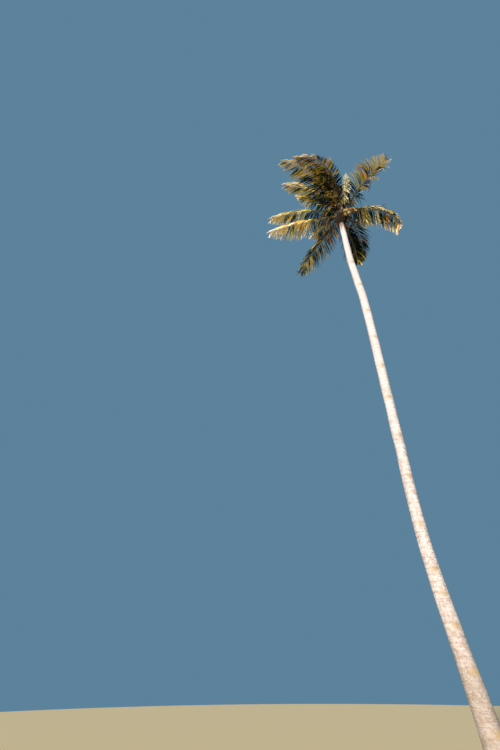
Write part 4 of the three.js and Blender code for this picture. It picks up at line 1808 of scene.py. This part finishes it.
    def fold_blades(self, root: dict[str, Array], hand: Array, points: Array, ways: Array,
                    twist: Array, length: Array) -> tuple[Array, Array, Array]:
        """Give each leaflet its folded blade: narrow at the root, widest early, fine at the tip.

        Args:
            root: The spine's place and directions at each leaflet.
            hand: Which side each is on, 1 or -1.
            points: Its points.
            ways: Its way at each point.
            twist: How far its blade turns about itself by its tip.
            length: How long it is.

        Returns:
            Its rings of four corners, its tip, and each corner's place across and along the blade.
        """
        share = np.linspace(0, 1, self.stations + 1)[:-1]
        ways, spots = ways[:, :-1], points[:, :-1]
        across = upright_across(np.broadcast_to(root["along"][:, None], ways.shape), ways)
        angle = (twist * share)[..., None]
        across, over = turned_about(across, np.cross(ways, across), angle)
        wide = self.root_width + (1 - self.root_width) * eased(share / self.widen_share)
        power, blunt = self.taper_powers
        outline = wide * (1 - share ** power) ** blunt
        scale = (length / length.max()) ** 0.5
        half = (self.size.width / 2 * scale[:, None] * outline)[..., None]
        fold = np.radians(np.interp(share, (0, 1), self.fold))[:, None]
        edge = hand[:, None, None] * np.sin(fold) * half * over
        flank = across * np.cos(fold) * half
        thick = over * (self.thickness / 2 * (1 - self.thin_tip * share)[:, None])
        rings = np.stack((spots + flank + edge, spots + thick, spots - flank + edge, spots - thick),
                         axis=2)
        flat = np.broadcast_to(np.array((1.0, 0.0, -1.0, 0.0)), rings.shape[:3]) * half
        down = np.broadcast_to((length[:, None] * share)[..., None], rings.shape[:3])
        own_start = np.arange(len(length))[:, None, None] * VEIN_SHIFT
        return rings, points[:, -1], np.stack((flat + own_start, down), axis=-1)

    def dry_ends(self, tint: Array, blade: Array) -> Array:
        """Spread each leaflet's tint along it, with an end that is one or two steps drier.

        Args:
            tint: The number of each leaflet's tint.
            blade: Each leaflet's place from the frond's base to its tip.

        Returns:
            The tint's number by leaflet and ring.
        """
        drier = np.array([TINTS.index(DRIER[name]) for name in TINTS])
        share = np.linspace(0, 1, self.stations + 1)[None, :-1]
        sooner = self.dry_sooner * blade * (self.dry_green + self.pose.gold)
        first = self.rng.uniform(*self.dry_from, len(tint)) - sooner
        second = first + self.rng.uniform(*self.dry_again, len(tint))
        once = drier[tint]
        twice = drier[once]
        tints = np.where(share > first[:, None], once[:, None], tint[:, None])
        return np.where(share > second[:, None], twice[:, None], tints)


@dataclass
class NutBunch:
    """The bunch of nuts: a bowed stalk out of the heart with nuts and flower threads at its end."""

    heart: Heart
    seed: int = 31
    way: float = -48.0
    height: float = 0.52
    reach: float = 0.43
    drop: float = 0.23

    # The stalk's half thickness, how thin its end is beside its foot, and its mesh.
    half: float = 0.016
    stalk_taper: float = 0.75
    stalk_points: int = 29
    stalk_sides: int = 12
    stalk_crease: float = 60.0
    # Directions that the stalk and the necks don't run along.
    stalk_ref: Triple = (0.3, 0.9, 0.1)
    neck_ref: Triple = (0.4, 0.2, 0.9)

    # The nuts stand in a spiral, this far from the stalk's end and this far over one another.
    count: int = 5
    ring: float = 0.076
    spacing: float = 0.052
    # They lean to a point this far over the stalk's end, and differ a little in size.
    hub_height: float = 0.10
    nut_size: Range = (0.93, 1.0)
    spin_rise: float = 0.1
    radius: float = 0.092
    stretch: float = 1.18
    longer_below: float = 0.05
    point_narrowing: float = 0.10
    segments: int = 36
    sphere_rings: int = 22
    ridge: float = 0.045
    # The stalk end's two steps: the faces that look up more than this, their inset and their sink.
    sunk_end: tuple[Triple, ...] = ((0.93, 0.006, -0.006), (0.965, 0.004, -0.004))

    # The cap's scales: their number on a nut, their size and cup, and how they overlap.
    tepals: int = 6
    tepal_sides: int = 16
    tepal_radius: float = 0.026
    tepal_shift: float = 0.022
    tepal_rise: float = 0.008
    tepal_cup: float = 5.5
    tepal_thickness: float = 0.003
    tepal_overlap: float = 0.002
    cap_sink: float = 0.07
    copy_crease: float = 45.0

    # The short necks from the caps up to the stalk.
    neck_points: int = 9
    neck_radius: float = 0.007
    neck_bow: float = 0.012
    neck_sides: int = 8
    neck_place: int = 6

    # The dry flower threads near the stalk's end.
    threads: int = 26
    thread_points: int = 12
    thread_places: int = 14
    thread_reach: Range = (0.10, 0.24)
    thread_fall: Range = (0.05, 0.22)
    thread_powers: Range = (0.8, 1.8)
    thread_arch: float = 0.06
    thread_wave: float = 0.012
    thread_waves: float = 14.0
    thread_radius: float = 0.0042
    thread_thinning: float = 0.002
    thread_sides: int = 6

    def __post_init__(self) -> None:
        """Start the bunch's own random numbers and draw its stalk."""
        self.rng = np.random.default_rng(self.seed)
        self.line = self.stalk_line()

    def stalk_line(self) -> Array:
        """Draw the stalk's centre: a curve out of the heart that bends down under its load.

        Returns:
            The curve's points.
        """
        out = level_way(math.radians(self.way))
        first = self.heart.centre(self.height)
        knee = first + out * self.reach
        last = self.heart.centre(self.height - self.drop) + out * self.reach
        t = np.linspace(0, 1, self.stalk_points)[:, None]
        return (1 - t) ** 2 * first + 2 * t * (1 - t) * knee + t * t * last

    def nut_places(self) -> Array:
        """Place the nuts round the stalk's end in a rising spiral.

        Returns:
            The nuts' middles.
        """
        number = np.arange(self.count)
        rise = self.spacing * (number - (self.count - 1) / 2)
        round_end = self.ring * level_way(GOLDEN_ANGLE * number)
        return self.line[-1] + round_end + rise[:, None] * UP

    def model_nut(self) -> Piece:
        """Model one nut at the origin: a ball with a sunk stalk end, three blunt ridges and a point.

        Returns:
            The nut's object, to be copied.
        """
        deselect_all()
        bpy.ops.mesh.primitive_uv_sphere_add(segments=self.segments, ring_count=self.sphere_rings,
                                             radius=self.radius)
        nut = bpy.context.active_object
        nut.name = "nut_model"
        bpy.ops.object.mode_set(mode="EDIT")
        bpy.ops.mesh.select_mode(type="FACE")
        for lowest, inset, sink in self.sunk_end:
            bpy.ops.mesh.select_all(action="DESELECT")
            shape = bmesh.from_edit_mesh(nut.data)
            for face in shape.faces:
                face.select_set(face.normal.z > lowest)
            bmesh.update_edit_mesh(nut.data)
            bpy.ops.mesh.inset(thickness=inset)
            bpy.ops.transform.translate(value=(0.0, 0.0, sink))
        bpy.ops.object.mode_set(mode="OBJECT")
        points = read_points(nut)
        turn = np.arctan2(points[:, 1], points[:, 0])
        level = points[:, 2] / self.radius
        waist = np.sqrt(np.clip(1 - level ** 2, 0, 1))
        narrowing = self.point_narrowing * np.clip(-level, 0, 1)
        points[:, :2] *= (1 + self.ridge * np.cos(3 * turn) * waist - narrowing)[:, None]
        longer = np.where(level < 0, self.longer_below, -self.longer_below)
        points[:, 2] *= self.stretch + longer
        write_points(nut, points)
        choose(nut)
        rounded = nut.modifiers.new("rounded", "SUBSURF")
        rounded.levels = rounded.render_levels = 1
        bpy.ops.object.modifier_apply(modifier=rounded.name)
        return nut

    def model_tepal(self) -> Piece:
        """Model one woody scale of the cap that holds a nut: a rounded, cupped plate.

        Returns:
            The scale's object, to be copied.
        """
        deselect_all()
        bpy.ops.mesh.primitive_circle_add(vertices=self.tepal_sides, radius=self.tepal_radius,
                                          fill_type="TRIFAN")
        tepal = bpy.context.active_object
        tepal.name = "tepal_model"
        bpy.ops.object.mode_set(mode="EDIT")
        bpy.ops.mesh.select_all(action="SELECT")
        bpy.ops.mesh.subdivide(number_cuts=1)
        bpy.ops.object.mode_set(mode="OBJECT")
        points = read_points(tepal)
        points[:, 0] += self.tepal_shift
        apart = np.hypot(points[:, 0], points[:, 1])
        points[:, 2] = self.tepal_rise - self.tepal_cup * apart ** 2
        write_points(tepal, points)
        choose(tepal)
        plate = tepal.modifiers.new("plate", "SOLIDIFY")
        plate.thickness = self.tepal_thickness
        bpy.ops.object.modifier_apply(modifier=plate.name)
        return tepal

    def copies(self, model: Piece, name: str, spots: Sequence[tuple[Array, Array]],
               finish: Material) -> Piece:
        """Copy a model to each spot, each with its own mesh, and join the copies.

        Args:
            model: The piece modelled once; it is removed.
            name: The joined piece's name.
            spots: A turning matrix and a place for each copy.
            finish: The material.

        Returns:
            The joined object.
        """
        made = []
        for turning, place in spots:
            copy = model.copy()
            copy.data = model.data.copy()
            write_points(copy, read_points(copy) @ turning.T + place)
            bpy.context.scene.collection.objects.link(copy)
            made.append(copy)
        bpy.data.objects.remove(model)
        deselect_all()
        for copy in made:
            copy.select_set(True)
        bpy.context.view_layer.objects.active = made[0]
        bpy.ops.object.join()
        joined = bpy.context.active_object
        joined.name = joined.data.name = name
        joined.data.materials.clear()
        joined.data.materials.append(finish)
        smooth(joined, self.copy_crease)
        return joined

    def hang_nuts(self) -> tuple[list, list, Array]:
        """Lay out the nuts, the scales of their caps and their necks.

        Returns:
            A turning matrix and a place for each nut, the same for each scale, and the necks' paths.
        """
        rng, line = self.rng, self.line
        nuts, tepals, necks = [], [], []
        for number, place in enumerate(self.nut_places()):
            axis = unit(line[-1] + UP * self.hub_height - place)
            spin = rng.uniform(0, TURN)
            first = upright_across(level_way(spin) + self.spin_rise * UP, axis)
            turning = np.column_stack((first, np.cross(axis, first), axis))
            upright = 0.5 * turning + 0.5 * np.eye(3)
            upright[:, 2] = unit(upright[:, 2])
            upright[:, 0] = upright_across(upright[:, 0], upright[:, 2])
            upright[:, 1] = np.cross(upright[:, 2], upright[:, 0])
            nuts.append((upright * rng.uniform(*self.nut_size), place))
            crown = place + upright[:, 2] * self.radius * (self.stretch - self.cap_sink)
            for scale in range(self.tepals):
                angle = TURN * scale / self.tepals + number
                round_nut = np.column_stack((level_way(angle), level_way(angle + TURN / 4), UP))
                lift = upright[:, 2] * self.tepal_overlap * (scale % 2)
                tepals.append((upright @ round_nut, crown + lift))
            holder = line[-self.neck_place - number]
            necks.append(np.linspace(crown, holder, self.neck_points))
        return nuts, tepals, np.stack(necks)

    def add_threads(self, batch: Batch) -> None:
        """Add the dry flower threads near the stalk's end.

        Args:
            batch: Where they go.
        """
        rng, column = self.rng, (self.threads, 1)
        share = np.linspace(0, 1, self.thread_points)
        near = self.line[-self.thread_places:]
        starts = near[rng.integers(0, self.thread_places, self.threads)]
        fan = rng.uniform(0, TURN, column)
        out, down = self.thread_powers
        reach = rng.uniform(*self.thread_reach, column) * share ** out
        fall = rng.uniform(*self.thread_fall, column) * share ** down
        fall = fall - self.thread_arch * np.sin(math.pi * share)
        fall = fall + self.thread_wave * np.sin(self.thread_waves * share + fan)
        paths = starts[:, None] + reach[..., None] * level_way(fan) - fall[..., None] * UP
        radii = np.broadcast_to(self.thread_radius - self.thread_thinning * share, reach.shape)
        aside = level_way(fan[:, 0] + TURN / 4)
        batch.add_strands(paths, radii, aside, self.thread_sides)

    def build(self, husk: Material, woody: Material) -> list[Piece]:
        """Model the nuts, their caps and the stalk with its threads.

        Args:
            husk: The nuts' material.
            woody: The stalk's material.

        Returns:
            The bunch's three objects.
        """
        line = self.line
        nut_spots, tepal_spots, necks = self.hang_nuts()
        nuts = self.copies(self.model_nut(), "nuts", nut_spots, husk)
        caps = self.copies(self.model_tepal(), "nut_caps", tepal_spots, woody)
        batch = Batch()
        load = np.linspace(1.0, self.stalk_taper, len(line))
        batch.add_strands(line[None], (self.half * load)[None], np.array((self.stalk_ref,)),
                          self.stalk_sides)
        bow = np.sin(math.pi * np.linspace(0, 1, self.neck_points))[None, :, None] * UP
        batch.add_strands(necks + bow * self.neck_bow, np.full(necks.shape[:2], self.neck_radius),
                          np.tile(self.neck_ref, (len(necks), 1)), self.neck_sides)
        self.add_threads(batch)
        return [nuts, caps, batch.build("nut_stalk", [woody], self.stalk_crease)]


def main() -> None:
    """Build the studio and the palm, piece by piece."""
    logging.basicConfig(level=logging.INFO, format="%(message)s")
    Studio().build()
    bark = WeatheredPalmBark().make()
    fibres = {fibre: fibre.value.make() for fibre in Fibre}
    ribs = {rib: rib.value.make() for rib in Rib}
    leaflets = [tint.value.make(f"palm_leaflet_{tint.name.lower()}") for tint in TINTS]

    trunk = Trunk()
    hand_over(trunk.build(bark), ["trunk"])
    hand_over(trunk.build_rootlets(fibres[Fibre.ROOTLET]), ["trunk"])
    heart = Heart(trunk)
    rags = Batch()
    hand_over(heart.build(fibres[Fibre.MATTING]), ["crown_heart"])
    hand_over(heart.build_strands(fibres[Fibre.MATTING]), ["crown_heart"])
    for number, pose in enumerate(FRONDS, start=1):
        frond = Frond(f"frond_{number:02d}", pose, GROWN, heart, seed=FROND_SEED + number)
        # A lit and a shaded ramp of the midrib: painted sunlight on the fronds that face the sun,
        # painted shade on the rest.
        rib = Rib.SUNNED if SUNNY_WAYS[0] < pose.way < SUNNY_WAYS[1] else Rib.GREEN
        hand_over(frond.build_rib(ribs[rib]), [frond.name])
        hand_over(frond.build_leaflets(leaflets), [frond.name])
        frond.add_rags(rags)
    cloth = rags.build("sheath_rags", [fibres[Fibre.CLOTH]])
    hand_over(cloth, ["crown_heart"])
    for number, (name, pose) in enumerate(YOUNG_LEAVES.items()):
        leaf = Frond(name, pose, YOUNG, heart, seed=YOUNG_SEED + number)
        hand_over(leaf.build_rib(ribs[Rib.YOUNG]), [name])
        hand_over(leaf.build_leaflets(leaflets), [name])
    for piece in NutBunch(heart).build(NutHusk().make(), fibres[Fibre.WOODY]):
        hand_over(piece, ["nut_bunch"])


if __name__ == "__main__":
    main()
